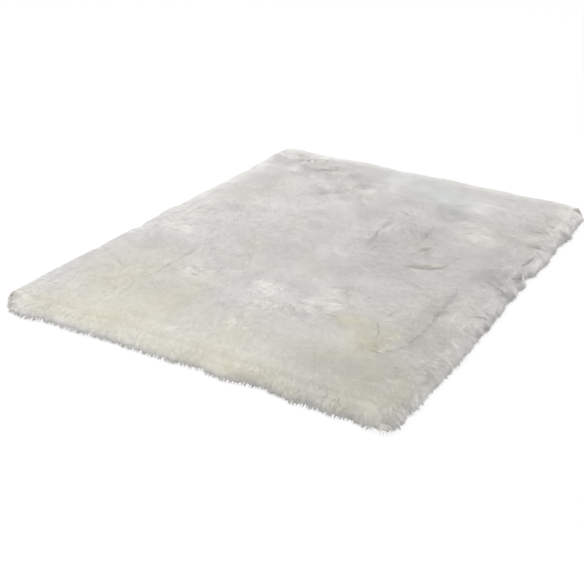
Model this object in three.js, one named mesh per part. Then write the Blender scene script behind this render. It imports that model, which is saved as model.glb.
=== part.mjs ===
// Long-pile fur rug, laid flat.
//
// A rug of this kind is one piece of pile fabric: a knitted ground cloth with long soft
// fibres all over its face, cut to a rectangle with rounded corners. It has no binding,
// fringe or lining, so it is one solid. The solid reaches as far as the pile does: its
// flat underside is the ground cloth with the lowest fibres, its sides are the fibres that
// hang past the cut edge, and its top is where the lying pile ends.
//
// Millimetres, +X across the rug, +Y along it, +Z up. The origin is the middle of the
// underside of the whole rug.

import * as THREE from 'three';
import { mergeVertices } from 'three/addons/utils/BufferGeometryUtils.js';

// ---- driving sizes ---------------------------------------------------------------------

const CLOTH_WIDTH = 1200; // the ground cloth as it was cut
const CLOTH_LENGTH = 1600;
const SIDE_OVERHANG = 20; // how far the pile stands past the cut edge along the sides
const END_OVERHANG = 30; // and past the two ends, because most of it lies along the rug
const PILE_TOP = 48; // usual height of the lying pile above the floor
const CORNER_RADIUS = 42; // the outline's corners
const EDGE_REACH = 90; // how far in from the edge its bulges are felt

const WIDTH = CLOTH_WIDTH + 2 * SIDE_OVERHANG;
const LENGTH = CLOTH_LENGTH + 2 * END_OVERHANG;

// The side, from the floor up: height, and how far it stands in from the outline.
const SIDE = [
  { z: 0, inset: 9 },
  { z: 10, inset: 1 },
  { z: 22, inset: 0 },
  { z: 34, inset: 3 },
  { z: 43, inset: 10 },
];

// The pile's shoulder, inwards from the outline: the share of the full height reached there.
const SHOULDER = [
  { from_outline: 10, share: 0.9 },
  { from_outline: 22, share: 0.96 },
  { from_outline: 42, share: 0.99 },
  { from_outline: 70, share: 1.0 },
];

// Bulges and notches of the outline. "at" runs along the edge (Y on the sides, X on the
// ends), "half" is half the bulge's length, and "out" is how far it stands out, or in
// where it is negative.
const BULGES = [
  { edge: 'right', at: -760, half: 70, out: -5 },
  { edge: 'right', at: -620, half: 60, out: -2 },
  { edge: 'right', at: -430, half: 70, out: 5 },
  { edge: 'right', at: -345, half: 50, out: 5 },
  { edge: 'right', at: -195, half: 45, out: 4 },
  { edge: 'right', at: -10, half: 60, out: -8 },
  { edge: 'right', at: 90, half: 35, out: -8 },
  { edge: 'right', at: 190, half: 55, out: -17 },
  { edge: 'right', at: 350, half: 60, out: 5 },
  { edge: 'right', at: 500, half: 50, out: -8 },
  { edge: 'right', at: 605, half: 50, out: 9 },
  { edge: 'right', at: 750, half: 60, out: -3 },
  { edge: 'front', at: -530, half: 95, out: 16 },
  { edge: 'front', at: -385, half: 55, out: 4 },
  { edge: 'front', at: -230, half: 60, out: -4 },
  { edge: 'front', at: 40, half: 85, out: -8 },
  { edge: 'front', at: 135, half: 45, out: 6 },
  { edge: 'front', at: 235, half: 80, out: -11 },
  { edge: 'front', at: 345, half: 45, out: 8 },
  { edge: 'front', at: 450, half: 55, out: 9 },
  { edge: 'front', at: 560, half: 60, out: 12 },
  { edge: 'left', at: -800, half: 40, out: 3 },
  { edge: 'left', at: -735, half: 75, out: -3 },
  { edge: 'left', at: -410, half: 40, out: -7 },
  { edge: 'left', at: -190, half: 45, out: -9 },
  { edge: 'left', at: -20, half: 80, out: 9 },
  { edge: 'left', at: 170, half: 60, out: 5 },
  { edge: 'left', at: 340, half: 60, out: -5 },
  { edge: 'left', at: 505, half: 45, out: -8 },
  { edge: 'left', at: 700, half: 100, out: 8 },
  { edge: 'back', at: -430, half: 110, out: -8 },
  { edge: 'back', at: -270, half: 70, out: 8 },
  { edge: 'back', at: -120, half: 60, out: -8 },
  { edge: 'back', at: 90, half: 60, out: 5 },
  { edge: 'back', at: 370, half: 55, out: -8 },
  { edge: 'back', at: 490, half: 45, out: 5 },
];

// Soft rises and hollows of the pile: middle, half lengths along and across, the turn of
// the long way from +X, and the height added.
const MOUNDS = [
  { x: -440, y: -640, along: 190, across: 110, turn: 35, rise: 3 },
  { x: -240, y: -387, along: 45, across: 34, turn: 20, rise: -9 },
  { x: -235, y: -470, along: 70, across: 35, turn: -15, rise: 2.5 },
  { x: -150, y: -330, along: 75, across: 40, turn: 40, rise: 2.5 },
  { x: 0, y: -350, along: 95, across: 55, turn: -10, rise: 3 },
  { x: 110, y: -440, along: 150, across: 45, turn: 5, rise: 3.5 },
  { x: 196, y: -372, along: 62, across: 48, turn: 30, rise: 3 },
  { x: 280, y: -440, along: 70, across: 40, turn: -35, rise: -3.5 },
  { x: 395, y: -500, along: 75, across: 60, turn: 50, rise: -4.5 },
  { x: -515, y: -125, along: 110, across: 60, turn: -12, rise: 3 },
  { x: -60, y: -730, along: 260, across: 70, turn: 0, rise: 2 },
  { x: 350, y: -720, along: 160, across: 70, turn: -8, rise: 2 },
  { x: 20, y: 170, along: 130, across: 95, turn: 60, rise: 2 },
  { x: -300, y: 180, along: 150, across: 100, turn: 20, rise: -2 },
  { x: -385, y: 690, along: 120, across: 55, turn: 15, rise: -3.5 },
  { x: -220, y: 480, along: 130, across: 60, turn: 25, rise: -3 },
  { x: 120, y: 660, along: 170, across: 70, turn: -15, rise: 3 },
  { x: 385, y: 350, along: 110, across: 65, turn: 20, rise: 2.5 },
  { x: 545, y: -90, along: 60, across: 170, turn: 0, rise: 3 },
  { x: 545, y: 480, along: 50, across: 200, turn: 0, rise: 2.5 },
  { x: 560, y: -640, along: 45, across: 160, turn: 0, rise: 2.5 },
];

// Creases, where the pile parts or lies the other way: both ends, half width, depth of the
// trough, and the height of the ridge that stands along its +90 degree side.
const CREASES = [
  { x1: 61, y1: 297, x2: 93, y2: 97, half: 24, depth: 7, ridge: 3 },
  { x1: 230, y1: 323, x2: 225, y2: 205, half: 22, depth: 7, ridge: 3 },
  { x1: 298, y1: 193, x2: 258, y2: 98, half: 22, depth: 6, ridge: 3 },
  { x1: 286, y1: 32, x2: 389, y2: 63, half: 24, depth: 8, ridge: 3 },
  { x1: 427, y1: -561, x2: 492, y2: -459, half: 26, depth: 9, ridge: 3 },
  { x1: 492, y1: -459, x2: 499, y2: -321, half: 26, depth: 8, ridge: 4 },
  { x1: 499, y1: -321, x2: 472, y2: -140, half: 24, depth: 6, ridge: 3 },
  { x1: -247, y1: -17, x2: 218, y2: 14, half: 26, depth: 3, ridge: 3 },
  { x1: -375, y1: -510, x2: -372, y2: -375, half: 26, depth: 5, ridge: 3 },
  { x1: -300, y1: -560, x2: -150, y2: -430, half: 26, depth: 4, ridge: 2 },
  { x1: 410, y1: 250, x2: 540, y2: 330, half: 24, depth: 4, ridge: 3 },
  { x1: 380, y1: -60, x2: 540, y2: -20, half: 24, depth: 4, ridge: 3 },
];

// How far apart the surface's lines lie: close together at the edge, then even.
const EDGE_STEPS = [0, 11, 24, 42, 66];
const ACROSS = 36; // cells across
const ALONG = 46; // cells along
const UP = SIDE.length - 1; // cells up the side

// ---- shape functions -------------------------------------------------------------------

// Positions of the lines from one edge to the other.
function lines(size, cells) {
  const n = EDGE_STEPS.length;
  const inner = cells - 2 * (n - 1);
  const first = EDGE_STEPS[n - 1];
  const out = [];
  for (let i = 0; i <= cells; i++) {
    if (i < n) out.push(-size / 2 + EDGE_STEPS[i]);
    else if (i > cells - n) out.push(size / 2 - EDGE_STEPS[cells - i]);
    else out.push(-size / 2 + first + ((size - 2 * first) * (i - n + 1)) / inner);
  }
  return out;
}

const smooth = (t) => {
  const c = Math.min(Math.max(t, 0), 1);
  return c * c * (3 - 2 * c);
};

// A rounded hump: 1 in the middle, 0 from t = 1 on.
const hump = (t) => smooth(1 - Math.abs(t));

// Pulls a point of the plain rectangle in at its corners, so that the outline is round there.
function roundCorner(x, y) {
  const cx = WIDTH / 2 - CORNER_RADIUS;
  const cy = LENGTH / 2 - CORNER_RADIUS;
  const a = (Math.abs(x) - cx) / CORNER_RADIUS;
  const b = (Math.abs(y) - cy) / CORNER_RADIUS;
  if (a <= 0 || b <= 0) return [x, y];
  return [
    Math.sign(x) * (cx + CORNER_RADIUS * a * Math.sqrt(1 - (b * b) / 2)),
    Math.sign(y) * (cy + CORNER_RADIUS * b * Math.sqrt(1 - (a * a) / 2)),
  ];
}

// How far the outline stands out at a point near one edge.
function bulge(edge, at) {
  let sum = 0;
  for (const b of BULGES) if (b.edge === edge) sum += b.out * hump((at - b.at) / b.half);
  return sum;
}

// Moves a point of the rounded rectangle outwards by the bulges, less the side's inset.
function edged(x, y, inset) {
  const right = smooth(1 - (WIDTH / 2 - x) / EDGE_REACH);
  const left = smooth(1 - (WIDTH / 2 + x) / EDGE_REACH);
  const back = smooth(1 - (LENGTH / 2 - y) / EDGE_REACH);
  const front = smooth(1 - (LENGTH / 2 + y) / EDGE_REACH);
  return [
    x + right * (bulge('right', y) - inset) - left * (bulge('left', y) - inset),
    y + back * (bulge('back', x) - inset) - front * (bulge('front', x) - inset),
  ];
}

// The share of the full height that the pile has at this distance in from the outline.
function shoulder(d) {
  if (d <= SHOULDER[0].from_outline) return SHOULDER[0].share;
  for (let i = 1; i < SHOULDER.length; i++) {
    const a = SHOULDER[i - 1];
    const b = SHOULDER[i];
    if (d <= b.from_outline) {
      const t = (d - a.from_outline) / (b.from_outline - a.from_outline);
      return a.share + (b.share - a.share) * t;
    }
  }
  return 1;
}

// Height of the pile's top over a point of the plan.
function pileTop(x, y) {
  let z = PILE_TOP;
  for (const m of MOUNDS) {
    const t = (m.turn * Math.PI) / 180;
    const dx = x - m.x;
    const dy = y - m.y;
    const a = (dx * Math.cos(t) + dy * Math.sin(t)) / m.along;
    const b = (-dx * Math.sin(t) + dy * Math.cos(t)) / m.across;
    z += m.rise * hump(Math.min(Math.hypot(a, b), 1));
  }
  for (const c of CREASES) {
    const ex = c.x2 - c.x1;
    const ey = c.y2 - c.y1;
    const length = Math.hypot(ex, ey);
    const along = ((x - c.x1) * ex + (y - c.y1) * ey) / (length * length);
    const side = (-(x - c.x1) * ey + (y - c.y1) * ex) / length;
    const ends = smooth(1 - Math.max(-along, along - 1, 0) * (length / (1.5 * c.half)));
    z -= c.depth * ends * hump(side / c.half);
    z += c.ridge * ends * hump((side - 1.4 * c.half) / c.half);
  }
  return z;
}

// ---- the rug ---------------------------------------------------------------------------

function rugGeometry() {
  const geometry = new THREE.BoxGeometry(2, 2, 2, ACROSS, ALONG, UP);
  const xs = lines(WIDTH, ACROSS);
  const ys = lines(LENGTH, ALONG);
  const p = geometry.attributes.position;
  for (let i = 0; i < p.count; i++) {
    const column = Math.round(((p.getX(i) + 1) / 2) * ACROSS);
    const row = Math.round(((p.getY(i) + 1) / 2) * ALONG);
    const level = Math.round(((p.getZ(i) + 1) / 2) * UP);
    const [rx, ry] = roundCorner(xs[column], ys[row]);
    const [x, y] = edged(rx, ry, SIDE[level].inset);
    let z = SIDE[level].z;
    if (level === UP) {
      const d = Math.min(WIDTH / 2 - Math.abs(rx), LENGTH / 2 - Math.abs(ry));
      z = pileTop(x, y) * shoulder(d + SIDE[UP].inset);
    }
    p.setXYZ(i, x, y, z);
  }
  geometry.deleteAttribute('normal');
  geometry.deleteAttribute('uv');
  const merged = mergeVertices(geometry, 0.01);
  merged.computeBoundingBox();
  const box = merged.boundingBox;
  merged.translate(-(box.min.x + box.max.x) / 2, -(box.min.y + box.max.y) / 2, -box.min.z);
  merged.computeVertexNormals();
  return merged;
}

const fur = new THREE.MeshStandardMaterial({ color: 0xe3e2da, roughness: 0.95, metalness: 0 });

const rug = new THREE.Mesh(rugGeometry(), fur);
rug.name = 'rug';

const group = new THREE.Group();
group.add(rug);

export default group;
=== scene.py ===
# Looks of the long-pile fur rug: a thin ground cloth, a soft undercoat over it, and the pile
# itself as many fine tapering locks that rise from the cloth and lie along the rug's surface.
#
# Tables and shape functions are in millimetres, in the same frame as the CAD; meshes are in
# metres. Nothing is read but the frame.

import math

import bpy
import numpy as np
from mathutils import Matrix, Vector


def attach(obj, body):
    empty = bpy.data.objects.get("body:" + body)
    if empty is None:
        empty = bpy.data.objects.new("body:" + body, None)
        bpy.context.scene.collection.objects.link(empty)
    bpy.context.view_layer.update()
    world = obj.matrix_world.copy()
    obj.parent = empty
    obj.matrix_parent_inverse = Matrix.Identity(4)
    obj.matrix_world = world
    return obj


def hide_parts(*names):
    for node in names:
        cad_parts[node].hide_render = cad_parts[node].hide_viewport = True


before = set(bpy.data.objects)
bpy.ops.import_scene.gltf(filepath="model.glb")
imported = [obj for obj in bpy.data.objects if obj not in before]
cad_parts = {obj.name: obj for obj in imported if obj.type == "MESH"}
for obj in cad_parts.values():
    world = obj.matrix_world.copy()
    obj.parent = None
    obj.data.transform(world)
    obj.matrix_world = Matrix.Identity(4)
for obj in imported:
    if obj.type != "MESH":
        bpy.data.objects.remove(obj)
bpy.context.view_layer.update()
scene = bpy.context.scene

# ---- sizes (the same as the CAD model's) -----------------------------------------------

CLOTH_WIDTH, CLOTH_LENGTH = 1200.0, 1600.0
SIDE_OVERHANG, END_OVERHANG = 20.0, 30.0
WIDTH = CLOTH_WIDTH + 2 * SIDE_OVERHANG
LENGTH = CLOTH_LENGTH + 2 * END_OVERHANG
PILE_TOP = 48.0
CORNER_RADIUS = 42.0
EDGE_REACH = 90.0
CLOTH_THICK = 3.0
SHIFT = (-0.69, 3.54)  # the CAD model is centred on its own box, this far from the tables

# edge, at, half, out
BULGES = [
    ("right", -760, 70, -5), ("right", -620, 60, -2), ("right", -430, 70, 5),
    ("right", -345, 50, 5), ("right", -195, 45, 4), ("right", -10, 60, -8),
    ("right", 90, 35, -8), ("right", 190, 55, -17), ("right", 350, 60, 5),
    ("right", 500, 50, -8), ("right", 605, 50, 9), ("right", 750, 60, -3),
    ("front", -530, 95, 16), ("front", -385, 55, 4), ("front", -230, 60, -4),
    ("front", 40, 85, -8), ("front", 135, 45, 6), ("front", 235, 80, -11),
    ("front", 345, 45, 8), ("front", 450, 55, 9), ("front", 560, 60, 12),
    ("left", -735, 75, -3), ("left", -800, 40, 3), ("left", -410, 40, -7), ("left", -190, 45, -9),
    ("left", -20, 80, 9), ("left", 170, 60, 5), ("left", 340, 60, -5),
    ("left", 505, 45, -8), ("left", 700, 100, 8),
    ("back", -430, 110, -8), ("back", -270, 70, 8), ("back", -120, 60, -8),
    ("back", 90, 60, 5), ("back", 370, 55, -8), ("back", 490, 45, 5),
]

# x, y, half length along, half length across, turn of the long way from +X, rise
MOUNDS = [
    (-440, -640, 190, 110, 35, 3), (-240, -387, 45, 34, 20, -9),
    (-235, -470, 70, 35, -15, 2.5), (-150, -330, 75, 40, 40, 2.5),
    (0, -350, 95, 55, -10, 3), (110, -440, 150, 45, 5, 3.5),
    (196, -372, 62, 48, 30, 3), (280, -440, 70, 40, -35, -3.5),
    (395, -500, 75, 60, 50, -4.5), (-515, -125, 110, 60, -12, 3),
    (-60, -730, 260, 70, 0, 2), (350, -720, 160, 70, -8, 2),
    (20, 170, 130, 95, 60, 2), (-300, 180, 150, 100, 20, -2),
    (-385, 690, 120, 55, 15, -3.5), (-220, 480, 130, 60, 25, -3),
    (120, 660, 170, 70, -15, 3), (385, 350, 110, 65, 20, 2.5),
    (545, -90, 60, 170, 0, 3), (545, 480, 50, 200, 0, 2.5),
    (560, -640, 45, 160, 0, 2.5),
]

# Where the pile is ruffled rather than smooth: x, y, half length along, half length across,
# turn, how much.
RUFFLES = [
    (-470, 740, 130, 70, -10, 0.9), (-350, 690, 130, 80, 10, 1.0), (-230, 660, 120, 100, 20, 0.8),
    (-190, 540, 110, 80, 40, 1.0), (-280, 420, 90, 50, 15, 0.8), (-30, 560, 60, 150, 90, 0.6),
    (60, 400, 70, 50, 0, 0.6), (-520, 30, 110, 110, 0, 0.8), (-500, -110, 120, 90, 0, 1.0),
    (-270, -210, 120, 80, 10, 0.9), (-250, -370, 110, 90, 15, 1.0), (-10, -350, 70, 80, 0, 0.9),
    (60, -450, 170, 80, 10, 1.0), (200, -370, 90, 100, 0, 1.0), (30, -590, 80, 90, 0, 0.7),
    (200, -260, 60, 50, 0, 0.8), (400, -130, 130, 110, 20, 0.9), (360, -300, 110, 110, 0, 0.7),
    (400, -420, 90, 100, 0, 0.5), (330, 30, 120, 90, 25, 0.55), (270, 140, 70, 90, 0, 0.5),
    (380, 360, 110, 150, -20, 0.9), (330, 430, 90, 80, 0, 0.7), (550, 100, 70, 700, 0, 0.6),
    (560, -500, 60, 350, 0, 0.5), (540, 640, 70, 170, 15, 0.7), (100, 200, 60, 180, 0, 0.3),
    (-440, 330, 150, 200, 0, 0.3), (300, 620, 220, 170, 0, 0.5), (540, 620, 80, 200, 0, 0.8),
]

# Where the pile parts: x1, y1, x2, y2, half width, depth, ridge on the +90 degree side, how
# warm the roots look there, and how much painted shade lies along it (less than 0: painted light).
CREASES = [
    (68, 335, 76, 215, 16, 0.8, 0.0, 0.2, 0.35), (76, 215, 92, 95, 16, 0.9, 0.0, 0.2, 0.4),
    (226, 345, 232, 192, 15, 0.8, 0.0, 0.2, 0.5), (290, 190, 248, 95, 17, 1.2, 0.2, 0.3, 0.8),
    (280, 5, 340, 20, 16, 0.8, 0.0, 0.4, 0.9), (340, 20, 388, 75, 17, 1.3, 0.2, 0.5, 0.9),
    (415, -557, 452, -548, 15, 0.6, 0.0, 0.4, 0.6), (452, -548, 492, -470, 15, 0.6, 0.0, 0.4, 0.7),
    (492, -470, 500, -320, 15, 0.6, 0.0, 0.3, 0.8), (500, -320, 494, -235, 15, 0.6, 0.0, 0.3, 0.9),
    (494, -235, 468, -40, 15, 0.6, 0.0, 0.2, 0.8), (-270, 0, 330, -12, 13, 0.4, 0.4, 0.1, -0.5),
    (-352, -240, -345, -640, 18, 1.0, 0.3, 0.1, 0.2), (60, 415, 120, 405, 14, 1.0, 0.4, 0.1, 0.4),
    (395, 165, 388, 100, 12, 0.8, 0.3, 0.2, 0.5), (180, -235, 215, -280, 16, 1.2, 0.4, 0.2, 0.4),
    (110, -440, 150, -470, 14, 1.4, 0.5, 0.2, 0.6), (362, -390, 425, -530, 14, 0.6, 0.0, 0.2, 0.4),
]

# Single partings that catch the eye, drawn in painted shade: x1, y1, x2, y2, half width, and how dark the painted shade
# is.
PARTINGS = [
    (68, 340, 76, 215, 2.2, 0.5), (76, 215, 93, 90, 2.2, 0.6), (226, 350, 232, 188, 2.2, 0.65),
    (290, 186, 272, 140, 3.0, 0.5), (272, 140, 250, 95, 2.4, 0.8), (330, 12, 372, 42, 4.4, 0.8),
    (372, 42, 390, 80, 2.4, 0.8), (280, 0, 330, 12, 3.6, 0.7), (395, 165, 388, 100, 2, 0.5),
    (415, -557, 452, -548, 2.4, 0.8), (452, -548, 491, -472, 2.6, 1.0),
    (491, -472, 499, -398, 2.6, 0.9), (499, -400, 500, -318, 2.4, 0.8),
    (500, -320, 494, -233, 2.6, 1.0), (494, -235, 484, -150, 2.8, 0.9), (484, -152, 468, -60, 3.0, 0.7),
    (62, 415, 122, 404, 2.6, 0.4), (110, -445, 155, -475, 2.4, 0.8),
    (362, -390, 394, -460, 2.2, 0.35), (394, -460, 425, -530, 2.2, 0.45),
    (375, -300, 380, -340, 3, 0.5), (410, 290, 400, 320, 2.4, 0.6),
    (500, 300, 490, 250, 2.4, 0.6), (520, 20, 610, 8, 2.4, 0.5), (-205, -178, -165, -215, 3, 0.3),
    (560, -215, 612, -176, 2.2, 1.0), (545, 365, 606, 390, 2.6, 0.9), (596, 700, 604, 760, 2.8, 1.0),
    (586, 205, 590, 310, 2.2, 0.8), (592, 95, 606, 180, 2.8, 0.8), (515, 485, 560, 505, 3.0, 0.6),
    (-345, -250, -342, -420, 2.0, 0.3), (148, -262, 205, -232, 2.4, 0.4),
    (20, -300, 60, -318, 2.2, 0.3), (-70, -520, -20, -560, 2.4, 0.3),
    (95, -505, 60, -560, 2.2, 0.3), (575, -815, 600, -822, 2.4, 0.4), (320, -640, 355, -600, 2.2, 0.3),
]

# The rug's section at its edge, inwards to outwards and down to the floor: distance in from
# the outline, and share of the pile's height. The pile droops over the front and right
# edges, towards which it lies, and stands fuller along the left and back ones.
DROOPING = [
    (42, 1.0), (33, 0.955), (24, 0.88), (16, 0.78), (10, 0.67), (5.5, 0.55), (2.5, 0.43),
    (0, 0.32), (-3, 0.21), (-7, 0.135), (-13, 0.09), (-26, 0.055), (-60, 0.03),
]
FULL = [
    (42, 1.0), (30, 1.045), (19, 1.07), (10, 1.05), (4, 0.97), (0.5, 0.84), (-1, 0.66),
    (-1.5, 0.46), (-1.5, 0.28), (-2, 0.14), (-5, 0.08), (-14, 0.045), (-50, 0.025),
]
FLOOR_E = 75.0  # how far along the section the floor is

# Which way the pile lies: x, y, direction in degrees from +X, reach of this row.
LAY = [
    (-550, 620, 238, 120), (-520, 350, 240, 170), (-520, 0, 235, 190), (-520, -350, 238, 190),
    (-500, -700, 246, 220), (-400, 520, 252, 120), (-300, 420, 260, 110), (-330, 280, 260, 150),
    (-330, 100, 264, 190), (-300, -150, 266, 190), (-250, -450, 266, 190), (-200, -720, 268, 200),
    (-180, 300, 285, 130), (-60, 180, 305, 180), (-50, -100, 300, 190), (0, -400, 280, 190),
    (50, -700, 272, 200), (200, 180, 345, 190), (250, -100, 335, 190), (250, -450, 310, 190),
    (250, -720, 288, 190), (400, 200, 0, 180), (450, -150, 352, 180), (450, -450, 338, 180),
    (470, -720, 308, 180), (560, 200, 0, 160), (560, -200, 355, 160), (560, -550, 345, 160),
    (560, 500, 10, 160), (-60, 430, 0, 120), (120, 430, 8, 170), (350, 450, 8, 180),
    (-460, 690, 325, 110), (-330, 640, 332, 110), (-190, 550, 338, 110), (-150, 430, 325, 100),
    (-400, 790, 60, 100), (-270, 750, 50, 110), (-120, 680, 50, 120), (-520, 800, 110, 80),
    (20, 700, 60, 150), (180, 700, 50, 170), (400, 700, 32, 170),
]

# Swirls, where locks turn about a point: x, y, reach, turn in degrees at the middle.
SWIRLS = [
    (196, -372, 80, 90), (-240, -387, 70, -80), (-470, -110, 70, 50), (0, -350, 70, 50),
    (395, -430, 80, -25), (400, 350, 90, 40), (-180, 540, 90, 60), (130, -450, 70, -50),
    (300, 40, 70, 40), (-350, 690, 90, -50),
]
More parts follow.
